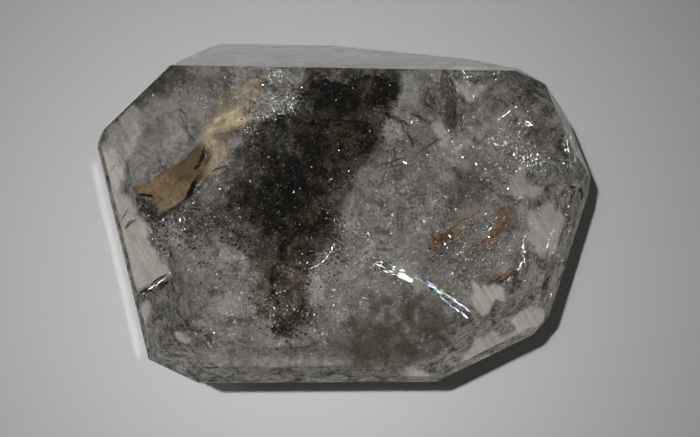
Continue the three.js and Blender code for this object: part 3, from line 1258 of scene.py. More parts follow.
class QUARTZ_OT_golden_crack(bpy.types.Operator):
    """Build the golden crack, a stained film with threads fanning across it"""

    bl_idname = "quartz.golden_crack"
    bl_label = "Golden Crack"

    def execute(self, context):
        settings = context.scene.quartz_inclusions
        gold = tuple(settings.gold_colour)
        cream = tuple(settings.cream_colour)
        draw = np.random.default_rng(THREAD_SEED)
        silk = silky_material("gold_silk", gold, scaled(cream, 0.62), strength=0.6, heading=FAN_HEADING)
        fan = film(FAN_OUTLINE, FAN_LEVEL, FAN_SLOPE, wrinkle=0.3, ragged=0.6, seed=52)
        add_sheets("gold_fan", [fan], silk, "brown_clay")
        silk = silky_material("streaked_silk", gold, cream, strength=1.0, heading=STREAK_HEADING)
        streaks = film(STREAK_OUTLINE, STREAK_LEVEL, wrinkle=0.2, soft=0.5, ragged=0.4, seed=55)
        add_sheets("gold_streaks", [streaks], silk, "brown_clay")
        silk = silky_material("cream_silk", gold, scaled(cream, 0.75), strength=0.75, heading=APRON_HEADING)
        apron = film(APRON_OUTLINE, APRON_LEVEL, soft=0.5, ragged=0.4, seed=53)
        add_sheets("gold_apron", [apron], silk, "brown_clay")
        ochre = film_material("ochre_film", OCHRE_DEEP, OCHRE_PALE, strength=0.85, patch=500.0, cover=0.75)
        patch = film(OCHRE_OUTLINE, OCHRE_LEVEL, wrinkle=0.2, soft=0.4, seed=54)
        add_sheets("ochre_film", [patch], ochre, "brown_clay")
        look = dict(count=12, spread=0.5, width=0.018, bow=0.4, wander=0.15)
        fans = [strands(GOLD_HUB, end, draw=draw, **look) for end in GOLD_ENDS]
        threads = earthy_material("gold_threads", scaled(cream, 1.2), gold)
        add_strands("gold_threads", fans, threads, "brown_clay")
        return {"FINISHED"}


# ---------------------------------------------------------------------------
# Veils, smoke and pale planes of painted light
# ---------------------------------------------------------------------------

VEIL_COUNT = 12
SOOTY_COUNT = 6
VEIL_CEILING = 21.5  # mm, so that the veils stay below the black mass
VEIL_DEPTH = 3.0  # mm from a veil's middle to the crystal's faces
VEIL_BEND = 1.2  # mm
VEIL_WRINKLES = (0.5, 1.4)  # mm, least and most


def random_sheets(count, draw, reach, leans):
    """Sheets scattered through the crystal, each with its own lean, heading and bend."""
    sheets = []
    for _ in range(count):
        centre = place_inside(LOW[2], VEIL_CEILING - 1, VEIL_DEPTH, draw)
        axes = axes_for(draw.uniform(*leans), draw.uniform(0, 360), draw.uniform(0, 360))
        size = draw.uniform(*reach, 2)
        bend = draw.normal(0, VEIL_BEND, 2)
        wrinkle = draw.uniform(*VEIL_WRINKLES)
        seed = int(draw.integers(1, MOST_SEED))
        sheets.append(curved_sheet(centre, axes, size, bend, wrinkle, seed, ceiling=VEIL_CEILING))
    return sheets


CRACK_COUNT = 110
CRACK_FLOOR = 15.0  # mm
CRACK_CEILING = 22.5
CRACK_DEPTH = 1.0  # mm from a crack's middle to the crystal's faces
CRACK_SIZES = (0.4, 2.4)  # mm, least and most
CRACK_BEND = 0.12  # as a share of the crack's size
CRACK_WRINKLE = 0.1
MIRROR_SCATTER = 0.22  # how far a crack's way strays from the one that mirrors the lamp to the camera


def open_cracks(draw):
    """Small curved cracks, lying so that parts of them catch the light."""
    sheets = []
    mirror = axes_for(GLINT_LEAN, GLINT_HEADING)[2]
    while len(sheets) < CRACK_COUNT:
        centre = place_inside(CRACK_FLOOR, VEIL_CEILING, CRACK_DEPTH, draw)
        way = mirror + draw.normal(0, MIRROR_SCATTER, 3)
        lean = math.degrees(math.atan2(math.hypot(way[0], way[1]), way[2]))
        axes = axes_for(lean, math.degrees(math.atan2(way[1], way[0])), draw.uniform(0, 360))
        size = draw.uniform(*CRACK_SIZES, 2)
        bend = draw.normal(0, CRACK_BEND, 2) * size
        wrinkle = CRACK_WRINKLE * size.max()
        seed = int(draw.integers(1, MOST_SEED))
        look = dict(steps=18, ragged=0.7, ceiling=CRACK_CEILING)
        shape = curved_sheet(centre, axes, size, bend, wrinkle, seed, **look)
        if len(shape[0]):
            sheets.append(shape)
    return sheets


# Level hazes near the top face, and frosty patches below them: outline and level, in mm.
LOWER_HAZE = (
    (-25.4, -20.5), (-23.0, -22.9), (-19.3, -25.3), (11.5, -26.3), (15.5, -24.3), (10.2, -22.1),
    (-7.0, -20.9), (-17.5, -20.1),
)
LENS_HAZE = (
    (7.0, 17.0), (9.9, 17.0), (9.8, 11.5), (6.6, 9.7), (5.0, 7.3), (4.2, 8.7), (5.6, 10.7), (6.7, 13.1),
)
LEFT_HAZE = (
    (-30.3, 0.9), (-29.5, 6.0), (-28.4, 10.4), (-26.4, 13.6), (-23.4, 12.6), (-24.6, 8.0), (-25.8, 4.0),
    (-27.6, 2.2),
)
HAZES = ((LOWER_HAZE, 25.0), (LENS_HAZE, 28.3), (LEFT_HAZE, 24.6))
RIGHT_FROST = (
    (16.6, 3.8), (20.9, 4.5), (26.0, 2.6), (27.2, -2.9), (26.6, -7.5), (23.6, -9.8), (19.6, -9.0),
    (17.5, -5.5),
)
UPPER_FROST = (
    (18.7, 15.2), (25.8, 13.8), (29.0, 7.1), (31.2, 1.7), (29.6, -1.4), (25.1, 0.5), (20.5, 4.5),
    (18.1, 9.9),
)
FROST_LEVEL = 22.7  # mm
FROSTS = ((RIGHT_FROST, FROST_LEVEL), (UPPER_FROST, FROST_LEVEL))

FOG_LEVELS = (18.6, 13.5, 8.5)  # mm
FOG_REACH = (70, 60)  # mm
FOG_BEND = (1.5, -1.5)  # mm
FOG_WRINKLE = 1.2  # mm
FOG_SEED = 140
FOG_STEPS = 130


def fog_sheets():
    """Broad level sheets, one above the other, across the whole crystal."""
    sheets = []
    for i, level in enumerate(FOG_LEVELS):
        axes = axes_for(3 + i, 70 * i)
        look = dict(seed=FOG_SEED + i, steps=FOG_STEPS, ragged=0.0)
        sheets.append(curved_sheet((0, 0, level), axes, FOG_REACH, FOG_BEND, FOG_WRINKLE, **look))
    return sheets


FOG_GAP = 0.1  # mm between the crystal's downward faces and the fog along them
FOG_RIM = 0.04  # mm between that fog's upper edge and the faces above it
FOG_GLOW = 0.8  # share of the light behind the fog that it passes on
FOG_OUTSIDE = 0.45  # how much it hides seen from outside, as a share of what it hides from inside
STEEP = -0.5  # a face's upward share of its normal above which it counts as a wall
LEVEL = -0.05  # above which the face looks upward, and has no fog
SOOTY_DARK = (0.02, 0.017, 0.013)
SOOTY_PALE = (0.09, 0.075, 0.055)


def inner_faces():
    """The crystal's faces moved in and cut by each other: the corners and upward share of each."""
    shape = crystal_hull()
    for normal, distance in zip(NORMALS, DISTANCES):
        moved = distance - (FOG_GAP if normal[2] < 0 else FOG_RIM)
        everything = shape.verts[:] + shape.edges[:] + shape.faces[:]
        plane = dict(plane_co=Vector(normal * moved), plane_no=Vector(normal))
        cut = bmesh.ops.bisect_plane(shape, geom=everything, clear_outer=True, **plane)
        rim = [item for item in cut["geom_cut"] if isinstance(item, bmesh.types.BMEdge)]
        bmesh.ops.contextual_create(shape, geom=rim)
    bmesh.ops.recalc_face_normals(shape, faces=shape.faces)
    made = [(np.array([corner.co[:] for corner in face.verts]), face.normal.z) for face in shape.faces]
    shape.free()
    return made


def cladding(name, faces, material):
    """A piece of flat fog from faces given by their corners."""
    points = np.concatenate(faces)
    starts = np.cumsum([0] + [len(corners) for corners in faces])
    polygons = [range(start, stop) for start, stop in zip(starts, starts[1:])]
    piece = add_piece(name, points, polygons, material, "clear_quartz", fade=np.ones(len(points)))
    piece.visible_shadow = False


class QUARTZ_OT_veils(bpy.types.Operator):
    """Build the cloudy healed cracks"""

    bl_idname = "quartz.veils"
    bl_label = "Healed Veils"

    def execute(self, context):
        settings = context.scene.quartz_veils
        draw = np.random.default_rng(settings.seed)
        pale = tuple(settings.veil_colour)
        grey = scaled(pale, 0.4)
        self.add_fog(pale)
        look = dict(patch=300.0, cover=0.75, dotted=0.15)
        hazy = film_material("haze", grey, scaled(pale, 0.85), strength=1.0, **look)
        add_sheets("hazes", films(HAZES, seed=170, wrinkle=0.3, soft=0.7), hazy, "clear_quartz")
        look = dict(patch=900.0, dots=3600.0, cover=0.58, dotted=0.7)
        frosty = film_material("frost", pale, scaled(pale, 1.9), strength=0.8, **look)
        frosts = films(FROSTS, seed=180, wrinkle=0.3, soft=1.6, ragged=1.2, step=0.4)
        add_sheets("frost", frosts, frosty, "clear_quartz")
        look = dict(patch=300.0, dots=2400.0, cover=0.55, dotted=0.3)
        cloudy = film_material("cloudy_veil", grey, pale, strength=0.6, **look)
        veils = random_sheets(VEIL_COUNT, draw, reach=(6, 13), leans=(0, 30))
        add_sheets("cloudy_veils", veils, cloudy, "clear_quartz")
        look = dict(patch=420.0, dots=4200.0, dotted=0.9)
        dotted = film_material("dotted_veil", pale, scaled(pale, 1.5), strength=0.85, **look)
        veils = random_sheets(VEIL_COUNT, draw, reach=(5, 12), leans=(0, 60))
        add_sheets("dotted_veils", veils, dotted, "clear_quartz")
        sooty = film_material("sooty_veil", SOOTY_DARK, SOOTY_PALE, strength=0.45, patch=330.0, cover=0.45)
        veils = random_sheets(SOOTY_COUNT, draw, reach=(5, 11), leans=(0, 40))
        add_sheets("sooty_veils", veils, sooty, "black_hydrocarbon")
        add_sheets("open_cracks", open_cracks(draw), crack_material("open_crack"), "clear_quartz")
        return {"FINISHED"}

    def add_fog(self, pale):
        look = dict(patch=140.0, cover=0.72, dotted=0.1)
        foggy = film_material("fog", scaled(pale, 0.12), pale, strength=0.85, **look)
        add_sheets("fog_sheets", fog_sheets(), foggy, "clear_quartz")
        inner = inner_faces()
        look = dict(strength=1.3, cover=0.85, dotted=0.1, glow=FOG_GLOW)
        shallow = film_material("floor_fog", scaled(pale, 0.12), scaled(pale, 0.84), patch=200.0, **look)
        cladding("floor_fog", [corners for corners, upward in inner if upward < STEEP], shallow)
        # The wall fog's paler tones, compared with the floor fog's, are painted light: they make up for the
        # lamp's grazing light on the steep faces.
        steep = film_material("wall_fog", scaled(pale, 0.2), scaled(pale, 1.38), patch=260.0, **look)
        cladding("wall_fog", [corners for corners, upward in inner if STEEP <= upward < LEVEL], steep)


BROAD_SMOKE = (
    (-0.3, -13.4), (6.4, -12.5), (12.0, -14.4), (14.1, -16.9), (13.2, -20.3), (9.4, -21.8),
    (4.1, -23.0), (-0.4, -22.9), (-1.7, -19.7), (-1.1, -16.3),
)
# Soft dark stains: outline and level, in mm.
SMOKE = (
    (((-27.8, 17.8), (-22.2, 17.8), (-21.2, 15.9), (-23.9, 13.8), (-27.6, 14.4), (-28.6, 16.0)), 23.0),
    (((24.2, 13.6), (26.2, 13.8), (26.8, 12.3), (24.8, 12.0)), 24.0),
    (((24.7, 8.8), (28.0, 8.6), (28.2, 5.9), (25.2, 5.8)), 23.0),
    (((12.9, 0.8), (13.7, 3.2), (16.4, 3.9), (18.3, 2.8), (18.8, 0.7), (16.9, -1.2), (14.5, -1.4)), 23.5),
    (((-1.2, -19.2), (1.2, -18.4), (3.3, -19.8), (3.8, -21.9), (1.7, -23.2), (-0.7, -22.6)), 25.0),
    (BROAD_SMOKE, 24.5),
    (((-0.4, -19.4), (4.5, -19.0), (10.2, -19.8), (9.6, -22.4), (4.5, -23.3), (0.0, -23.0)), 26.0),
    (((2.0, -14.6), (7.6, -13.6), (11.6, -15.6), (11.2, -19.2), (5.0, -20.4), (2.2, -18.0)), 25.2),
    (((-29.4, -12.0), (-26.5, -9.7), (-23.9, -9.5), (-24.4, -10.8), (-26.8, -12.1)), 25.0),
    (((1.4, 5.6), (4.9, 7.8), (4.4, 4.8), (2.2, 3.4)), 23.0),
)
LENS_OUTLINE = (
    (12.8, 17.4), (12.2, 15.4), (12.1, 14.0), (12.8, 12.6), (12.9, 10.7), (12.9, 9.6), (13.4, 8.9),
    (14.0, 8.5), (14.6, 10.3), (14.2, 12.4), (13.5, 14.7), (13.1, 17.4),
)
LENS_HEART = (
    (12.8, 12.1), (12.7, 10.6), (12.9, 9.5), (13.3, 8.9), (14.1, 8.8), (14.6, 10.4), (14.3, 12.3),
    (13.5, 12.8),
)
LENS_LEVEL = 25.2  # mm
HEART_LEVEL = 25.5
LENS_SLOPE = (0.15, 0)
HAIR_SEED = 61
HAIR_WIDTH = 0.06  # mm
SMOKE_PALE = (0.08, 0.066, 0.046)
LENS_DARK = (0.012, 0.009, 0.006)
LENS_PALE = (0.1, 0.076, 0.052)
HEART_DARK = (0.006, 0.005, 0.004)
HEART_PALE = (0.06, 0.046, 0.03)
HAIR_PALE = (0.035, 0.026, 0.018)

# Dark hair cracks: start, end, number, spread and bow, in mm.
DARK_CRACKS = (
    ((13.3, 16.6, 25.6), (14.5, 12.2, 25.6), 6, 0.05, -0.1),
    ((14.5, 12.3, 25.6), (14.1, 8.6, 25.6), 6, 0.05, -0.4),
    ((8.3, 5.2, 25.3), (14.5, 8.8, 25.3), 3, 0.03, 0.1),
    ((3.0, 3.6, 25.3), (8.4, 5.3, 25.3), 3, 0.05, 0.15),
    ((6.4, 10.6, 25.3), (7.5, 8.5, 25.3), 6, 0.03, 0.05),
    ((7.4, 8.6, 25.3), (8.6, 6.1, 25.3), 6, 0.03, 0.1),
    ((10.3, 15.0, 25.3), (9.5, 11.9, 25.3), 5, 0.03, -0.4),
    ((7.5, 13.2, 25.3), (10.4, 15.0, 25.3), 4, 0.04, -0.2),
    ((4.6, 11.1, 25.3), (6.8, 10.3, 25.3), 5, 0.06, -0.3),
    ((8.9, 13.6, 25.3), (7.0, 11.6, 25.3), 5, 0.1, 0.3),
    ((9.4, 12.4, 25.3), (11.6, 11.0, 25.3), 5, 0.12, 0.2),
    ((10.8, 14.6, 25.3), (11.9, 11.8, 25.3), 6, 0.2, -0.3),
    ((6.5, 12.4, 25.3), (10.8, 9.6, 25.3), 12, 0.9, 0.3),
    ((7.0, 15.0, 25.3), (9.0, 13.0, 25.3), 10, 0.7, -0.3),
    ((28.8, 0.2, 25.3), (28.3, -2.5, 25.3), 5, 0.04, -0.1),
    ((28.3, -2.5, 25.3), (26.5, -7.2, 25.3), 5, 0.04, -0.2),
    ((28.0, -0.3, 25.3), (26.7, -4.8, 25.3), 3, 0.08, -0.1),
    ((28.1, 1.4, 25.0), (29.7, 1.2, 25.0), 9, 0.12, -0.2),
    ((29.7, 1.3, 25.0), (28.5, -0.2, 25.0), 6, 0.1, 0.1),
    ((-28.1, -12.5, 29.5), (-26.2, -11.4, 29.5), 8, 0.1, 0.1),
    ((-26.2, -11.3, 29.5), (-23.6, -9.5, 29.5), 8, 0.1, 0.15),
    ((-29.9, -4.4, 29.5), (-27.6, -2.4, 29.5), 3, 0.16, 0.2),
    ((-30.2, -2.9, 29.5), (-28.8, -0.6, 29.5), 3, 0.2, 0.1),
    ((-19.0, 7.6, 26.3), (-20.4, 3.9, 26.3), 5, 0.04, 0.3),
    ((-20.4, 3.9, 26.3), (-19.5, 4.4, 26.3), 4, 0.04, 0.0),
    ((-18.2, 3.4, 26.2), (-22.5, -0.9, 26.2), 3, 0.04, 0.2),
    ((-15.8, 4.6, 26.2), (-18.3, 3.3, 26.2), 3, 0.05, -0.2),
    ((-6.3, 9.2, 28.2), (-4.2, 10.0, 28.2), 5, 0.05, 0.05),
    ((-4.3, 9.9, 28.2), (2.8, 9.4, 28.2), 6, 0.05, 0.4),
)


class QUARTZ_OT_smoke(bpy.types.Operator):
    """Build the smoky stains, the dark lens and the dark hair cracks"""

    bl_idname = "quartz.smoke"
    bl_label = "Smoke and Dark Cracks"

    def execute(self, context):
        settings = context.scene.quartz_inclusions
        smoky = tuple(settings.smoke_stain)
        draw = np.random.default_rng(HAIR_SEED)
        look = dict(patch=420.0, dots=3600.0, cover=0.66, dotted=0.35)
        stain = film_material("smoky_stain", smoky, SMOKE_PALE, strength=1.4, **look)
        stains = films(SMOKE, seed=62, wrinkle=0.5, soft=1.3, ragged=0.9, step=0.4)
        add_sheets("smoky_stains", stains, stain, "brown_clay")
        look = dict(patch=1400.0, dots=5000.0, cover=0.85, dotted=0.3)
        lens = film_material("dark_lens", LENS_DARK, LENS_PALE, strength=1.1, **look)
        heart = film_material("lens_heart", HEART_DARK, HEART_PALE, strength=1.3, patch=1400.0, cover=0.9)
        fine = dict(slope=LENS_SLOPE, step=0.1)
        blade = film(LENS_OUTLINE, LENS_LEVEL, wrinkle=0.15, soft=0.1, ragged=0.08, seed=71, **fine)
        core = film(LENS_HEART, HEART_LEVEL, wrinkle=0.1, soft=0.12, ragged=0.15, seed=73, **fine)
        add_sheets("dark_lens", [blade], lens, "black_hydrocarbon")
        add_sheets("lens_heart", [core], heart, "black_hydrocarbon")
        hairs = [
            strands(start, end, count, spread, HAIR_WIDTH, draw, bow, wander=0.16, steps=20, loose=0.35)
            for start, end, count, spread, bow in DARK_CRACKS
        ]
        hair = earthy_material("hair_crack", LENS_DARK, HAIR_PALE)
        add_strands("hair_cracks", hairs, hair, "black_hydrocarbon")
        return {"FINISHED"}


# Outlines of pale planes of painted light, standing in for the light seen through clear quartz.
LEFT_WINDOW = (
    (-33.8, 6.2), (-30.9, 6.5), (-29.4, 4.1), (-29.7, 1.3), (-28.2, -0.7), (-26.7, -2.4), (-26.2, -5.3),
    (-25.0, -7.6), (-23.4, -9.4), (-25.0, -11.0), (-27.5, -12.2), (-29.4, -12.7), (-30.4, -9.1),
    (-31.6, -5.2), (-32.8, 0.0), (-33.7, 4.2),
)
CORNER_WINDOW = (
    (-32.4, 6.5), (-31.2, 9.3), (-28.4, 12.3), (-27.1, 11.4), (-27.5, 7.7), (-28.9, 5.2), (-29.7, 1.8),
    (-30.9, 0.0), (-31.8, 2.6),
)
LOWER_WINDOW = (
    (14.1, -22.2), (14.7, -20.1), (15.5, -18.8), (21.9, -18.3), (23.5, -19.0), (19.2, -20.9),
    (16.0, -22.4),
)
# Pale planes of painted light, standing in for the light seen through clear quartz: outline and level, in
# mm, and how much they hide.
WINDOWS = (
    (LEFT_WINDOW, 29.3, 0.85),
    (((-28.9, -13.5), (-26.6, -13.0), (-26.3, -14.6), (-26.9, -17.1), (-28.2, -17.4)), 29.3, 0.7),
    (((21.0, 2.0), (22.4, 3.6), (23.7, 1.3), (25.7, 0.6), (24.3, -0.6), (21.3, -0.0)), 27.4, 0.75),
    (((23.8, -2.4), (26.2, -1.2), (27.7, -3.1), (26.8, -7.2), (24.8, -8.3), (23.4, -5.6)), 27.6, 0.8),
    (((15.9, -11.6), (17.9, -12.4), (20.8, -12.2), (19.7, -13.8), (17.2, -16.2), (15.9, -14.8)), 26.5, 1.1),
    (((20.4, -16.8), (21.7, -15.8), (24.8, -15.1), (25.4, -17.0), (24.0, -18.2), (22.2, -18.7)), 28.4, 1.1),
    (LOWER_WINDOW, 28.6, 0.75),
    (((5.3, -23.1), (7.3, -22.6), (9.9, -23.6), (10.2, -24.2), (7.9, -24.7)), 28.4, 0.8),
    (CORNER_WINDOW, 29.2, 0.6),
    (((14.1, 15.5), (16.0, 15.4), (18.0, 14.4), (18.2, 12.8), (16.1, 12.7), (14.4, 13.6)), 23.0, 1.0),
    (((4.6, 10.0), (5.8, 10.6), (7.0, 9.2), (6.9, 8.0), (5.3, 8.1)), 23.0, 0.9),
    (((11.5, 9.4), (12.4, 10.4), (13.6, 8.1), (13.4, 6.7), (12.2, 6.9)), 23.0, 0.9),
    (((-25.5, -18.3), (-24.7, -17.5), (-22.3, -17.8), (-21.5, -18.9), (-23.6, -19.1)), 22.0, 0.8),
    (((-6.3, -10.4), (-5.2, -9.9), (-3.6, -11.0), (-3.7, -13.6), (-5.3, -14.4), (-6.4, -12.5)), 22.5, 0.5),
)


class QUARTZ_OT_windows(bpy.types.Operator):
    """Build the pale striated planes: painted light that stands in for the light seen through clear quartz,
    with the quartz's growth lines
    """

    bl_idname = "quartz.windows"
    bl_label = "Pale Planes"

    def execute(self, context):
        settings = context.scene.quartz_veils
        # These pale planes paint the light seen through clear quartz; their striations are the quartz's
        # growth lines.
        pale = tuple(settings.window_light_colour)
        rows = [(outline, level) for outline, level, _ in WINDOWS]
        planes = films(rows, seed=90, wrinkle=0.06, soft=0.45, step=0.16, margin=0.08)
        planes = [(*plane[:2], plane[2] * share) for plane, (_, _, share) in zip(planes, WINDOWS)]
        material = striated_material("pale_plane", scaled(pale, 0.7), pale, strength=0.85)
        add_sheets("pale_planes", planes, material, "clear_quartz")
        return {"FINISHED"}


# Stained fibres: start, end, number, spread and bow, in mm.
RUST_BUNDLES = (
    ((11.6, -6.0, 22.6), (17.6, -2.1, 22.8), 12, 0.1, 0.25),
    ((10.3, -7.2, 22.4), (15.0, -4.1, 22.6), 16, 0.35, 0.4),
    ((18.2, -6.3, 22.6), (22.0, -1.9, 22.8), 18, 0.3, -0.4),
    ((15.5, -7.9, 22.4), (20.2, -5.0, 22.6), 12, 0.35, 0.3),
    ((19.8, -9.0, 21.8), (23.9, -7.5, 21.8), 8, 0.25, 0.2),
    ((17.4, -12.2, 21.6), (23.1, -9.1, 21.8), 14, 0.25, -0.4),
    ((18.5, -4.8, 22.8), (21.8, -0.8, 23.0), 8, 0.3, 0.2),
)
# Their stain: outline and level, in mm.
RUST_STAINS = (
    (((10.0, -8.0), (11.0, -6.4), (12.8, -5.4), (14.4, -5.2), (13.0, -6.8), (11.6, -7.8)), 22.0),
    (((17.2, -7.0), (19.6, -4.6), (21.4, -1.8), (22.2, -2.4), (20.4, -5.6), (18.4, -7.4)), 22.0),
    (((12.6, -5.0), (15.4, -2.8), (17.2, -2.2), (15.6, -3.8), (13.8, -5.2)), 22.2),
)
FIBRE_SEED = 81
FIBRE_WIDTH = 0.035  # mm


class QUARTZ_OT_fibres(bpy.types.Operator):
    """Build the orange-brown fibres and their stain"""

    bl_idname = "quartz.fibres"
    bl_label = "Rusty Fibres"

    def execute(self, context):
        settings = context.scene.quartz_inclusions
        rust = tuple(settings.rust_colour)
        pale = tuple(1.5 * share + 0.02 for share in rust)
        draw = np.random.default_rng(FIBRE_SEED)
        look = dict(patch=700.0, dots=4500.0, cover=0.6)
        stain = film_material("rust_film", rust, pale, strength=1.0, **look)
        stains = films(RUST_STAINS, seed=82, wrinkle=0.4, ragged=0.8)
        add_sheets("rust_stains", stains, stain, "brown_clay")
        fibres = [
            strands(start, end, 2 * count, spread, FIBRE_WIDTH, draw, bow, wander=0.2)
            for start, end, count, spread, bow in RUST_BUNDLES
        ]
        add_strands("rusty_fibres", fibres, earthy_material("rusty_fibre", rust, pale), "brown_clay")
        return {"FINISHED"}


# ---------------------------------------------------------------------------
# Glints
# ---------------------------------------------------------------------------

# Clusters of facets that catch the light: middle, reach and number of facets, in mm.
GLINT_CLOUDS = (
    Cloud((-9.4, 15.8, 28.3), (1.1, 0.6, 0.15), 420),
    Cloud((-8.2, 12.4, 28.4), (1.1, 0.8, 0.15), 700),
    Cloud((-10.8, 10.9, 28.2), (1.3, 0.6, 0.15), 300),
    Cloud((-13.6, 16.2, 24.2), (2.2, 0.5, 0.5), 130),
    Cloud((-13.2, 8.6, 28.0), (0.8, 1.2, 0.15), 160),
    Cloud((-18.5, 14.6, 23.0), (1.6, 0.5, 0.5), 90),
    Cloud((-27.0, 13.6, 22.5), (0.8, 0.7, 0.5), 90),
    Cloud((-25.0, -5.2, 28.0), (1.2, 1.5, 0.15), 300),
    Cloud((-20.0, -2.8, 28.0), (2.6, 1.9, 0.15), 420),
    Cloud((-26.4, -11.6, 25.0), (1.3, 1.1, 0.4), 160),
    Cloud((-16.0, -6.9, 24.6), (1.6, 0.4, 0.4), 90),
    Cloud((-17.0, -14.0, 22.0), (4.5, 3.0, 1.0), 300),
    Cloud((-9.6, -13.0, 28.6), (1.5, 2.4, 0.1), 260),
    Cloud((-5.4, -9.0, 26.2), (0.9, 1.0, 0.4), 110),
    Cloud((1.8, -10.0, 23.4), (3.6, 2.6, 0.7), 340),
    Cloud((0.0, -15.2, 23.2), (3.6, 1.8, 0.7), 380),
    Cloud((2.0, -20.6, 23.0), (5.6, 1.6, 0.6), 420),
    Cloud((8.0, -2.0, 23.4), (3.6, 4.2, 0.8), 480),
    Cloud((7.0, 1.8, 23.8), (2.0, 1.2, 0.6), 160),
    Cloud((16.4, 8.2, 24.2), (3.0, 2.4, 0.7), 420),
    Cloud((21.6, 6.6, 24.2), (1.8, 2.4, 0.6), 460),
    Cloud((24.7, 4.3, 24.6), (1.5, 0.8, 0.4), 800),
    Cloud((23.9, 9.4, 24.2), (0.9, 0.3, 0.3), 140),
    Cloud((29.2, 6.4, 25.6), (0.4, 1.7, 0.4), 320),
    Cloud((15.7, 15.8, 25.2), (0.35, 0.9, 0.3), 70),
    Cloud((15.8, 14.6, 24.4), (0.6, 1.0, 0.4), 100),
    Cloud((19.4, -6.0, 24.4), (2.6, 3.2, 0.7), 460),
    Cloud((24.4, -5.6, 23.8), (0.5, 2.4, 0.5), 160),
    Cloud((28.2, -3.4, 25.4), (0.7, 3.6, 0.5), 360),
    Cloud((27.0, -10.0, 25.0), (0.6, 1.8, 0.5), 200),
    Cloud((11.0, -12.0, 26.4), (3.0, 1.8, 0.4), 260),
    Cloud((16.5, -7.0, 26.8), (4.2, 2.6, 0.4), 420),
    Cloud((20.5, 0.5, 26.8), (3.2, 3.0, 0.4), 300),
    Cloud((-2.0, -4.0, 26.8), (2.6, 5.0, 0.3), 130),
    Cloud((20.0, 15.6, 26.0), (5.0, 0.5, 0.4), 260),
    Cloud((12.5, 5.5, 25.6), (2.2, 1.6, 0.4), 260),
)
MASS_GLINTS = 1800
MASS_GLINT_LEVEL = SOOT_LEVEL + 0.3  # mm, just above the soot
LOOSE_TILT = 0.22  # how far single facets tilt off their common way, as a slope
CLOUD_TILT = 0.3
MASS_TILT = 0.35
LOOSE_SIZES = Sizes(-2.6, 0.5, 0.03, 0.22)
CLOUD_SIZES = Sizes(-2.4, 0.5, 0.04, 0.26)
MASS_SIZES = Sizes(-2.7, 0.45, 0.03, 0.2)
CROWN_OUTLINE = (
    (-12.7, 16.5), (-9.7, 17.2), (-6.1, 17.2), (-6.4, 15.4), (-7.0, 13.3), (-8.3, 11.7), (-11.0, 10.4),
    (-13.3, 9.1), (-14.4, 8.1), (-14.4, 9.9), (-13.0, 12.3),
)
ARM_OUTLINE = (
    (-26.3, -1.0), (-23.9, 0.1), (-21.0, 1.1), (-19.1, 2.7), (-17.8, 1.1), (-14.6, -0.9), (-12.5, -3.5),
    (-12.5, -6.3), (-14.4, -8.3), (-17.9, -8.0), (-21.2, -7.2), (-23.7, -6.1), (-25.4, -4.2),
)
ARM_LEVEL = 26.9  # mm
CROWN_LEVEL = 28.0  # just above the black mass
GLINT_LEAN = 12.0  # degrees from upright at which a facet mirrors the lamp to the camera
GLINT_HEADING = 159.0
LEAN_DRIFT = 0.3  # degrees less of that for each mm left of the middle

# Cracks seen edge-on as bright streaks: start, end, number and spread, in mm.
BRIGHT_LINES = (
    ((19.8, 9.9, 24.5), (21.7, 11.2, 24.5), 16, 0.08),
    ((22.9, 9.8, 24.5), (24.8, 9.0, 24.5), 14, 0.2),
    ((18.6, 7.9, 24.0), (20.2, 6.3, 24.0), 8, 0.15),
    ((20.2, 6.3, 24.0), (21.6, 7.3, 24.0), 8, 0.15),
    ((26.8, -5.0, 26.0), (25.6, -7.7, 26.0), 14, 0.08),
    ((23.4, -5.6, 24.5), (23.0, -7.2, 24.5), 13, 0.1),
    ((23.0, -7.2, 24.5), (23.1, -9.0, 24.5), 13, 0.1),
    ((25.7, -13.1, 26.0), (26.3, -14.0, 26.0), 14, 0.15),
    ((22.6, -9.4, 24.5), (20.6, -12.0, 24.5), 9, 0.2),
    ((28.9, 8.2, 26.0), (29.4, 4.4, 26.0), 14, 0.1),
    ((-28.1, -12.6, 29.5), (-26.1, -11.4, 29.5), 14, 0.08),
    ((-26.1, -11.4, 29.5), (-23.5, -9.6, 29.5), 10, 0.08),
    ((-5.7, -9.4, 28.3), (-4.6, -9.0, 28.3), 12, 0.03),
    ((-4.6, -9.0, 28.3), (-3.6, -8.3, 28.3), 16, 0.03),
    ((-3.6, -8.3, 28.3), (-2.8, -7.2, 28.3), 16, 0.03),
    ((-2.8, -7.2, 28.3), (-2.4, -6.2, 28.3), 9, 0.03),
    ((15.2, 16.9, 25.5), (16.2, 14.6, 25.5), 12, 0.08),
    ((2.5, -8.7, 24.5), (5.9, -10.1, 24.5), 14, 0.3),
    ((2.7, -9.7, 24.5), (6.2, -10.6, 24.5), 8, 0.2),
    ((27.9, -0.9, 26.0), (28.8, 0.5, 26.0), 6, 0.1),
    ((-32.3, 3.9, 29.5), (-30.1, -5.2, 29.5), 16, 0.05),
    ((26.0, -13.6, 26.0), (27.2, -12.0, 26.0), 8, 0.12),
    ((-8.6, -22.9, 25.5), (-7.1, -23.5, 25.5), 10, 0.2),
)
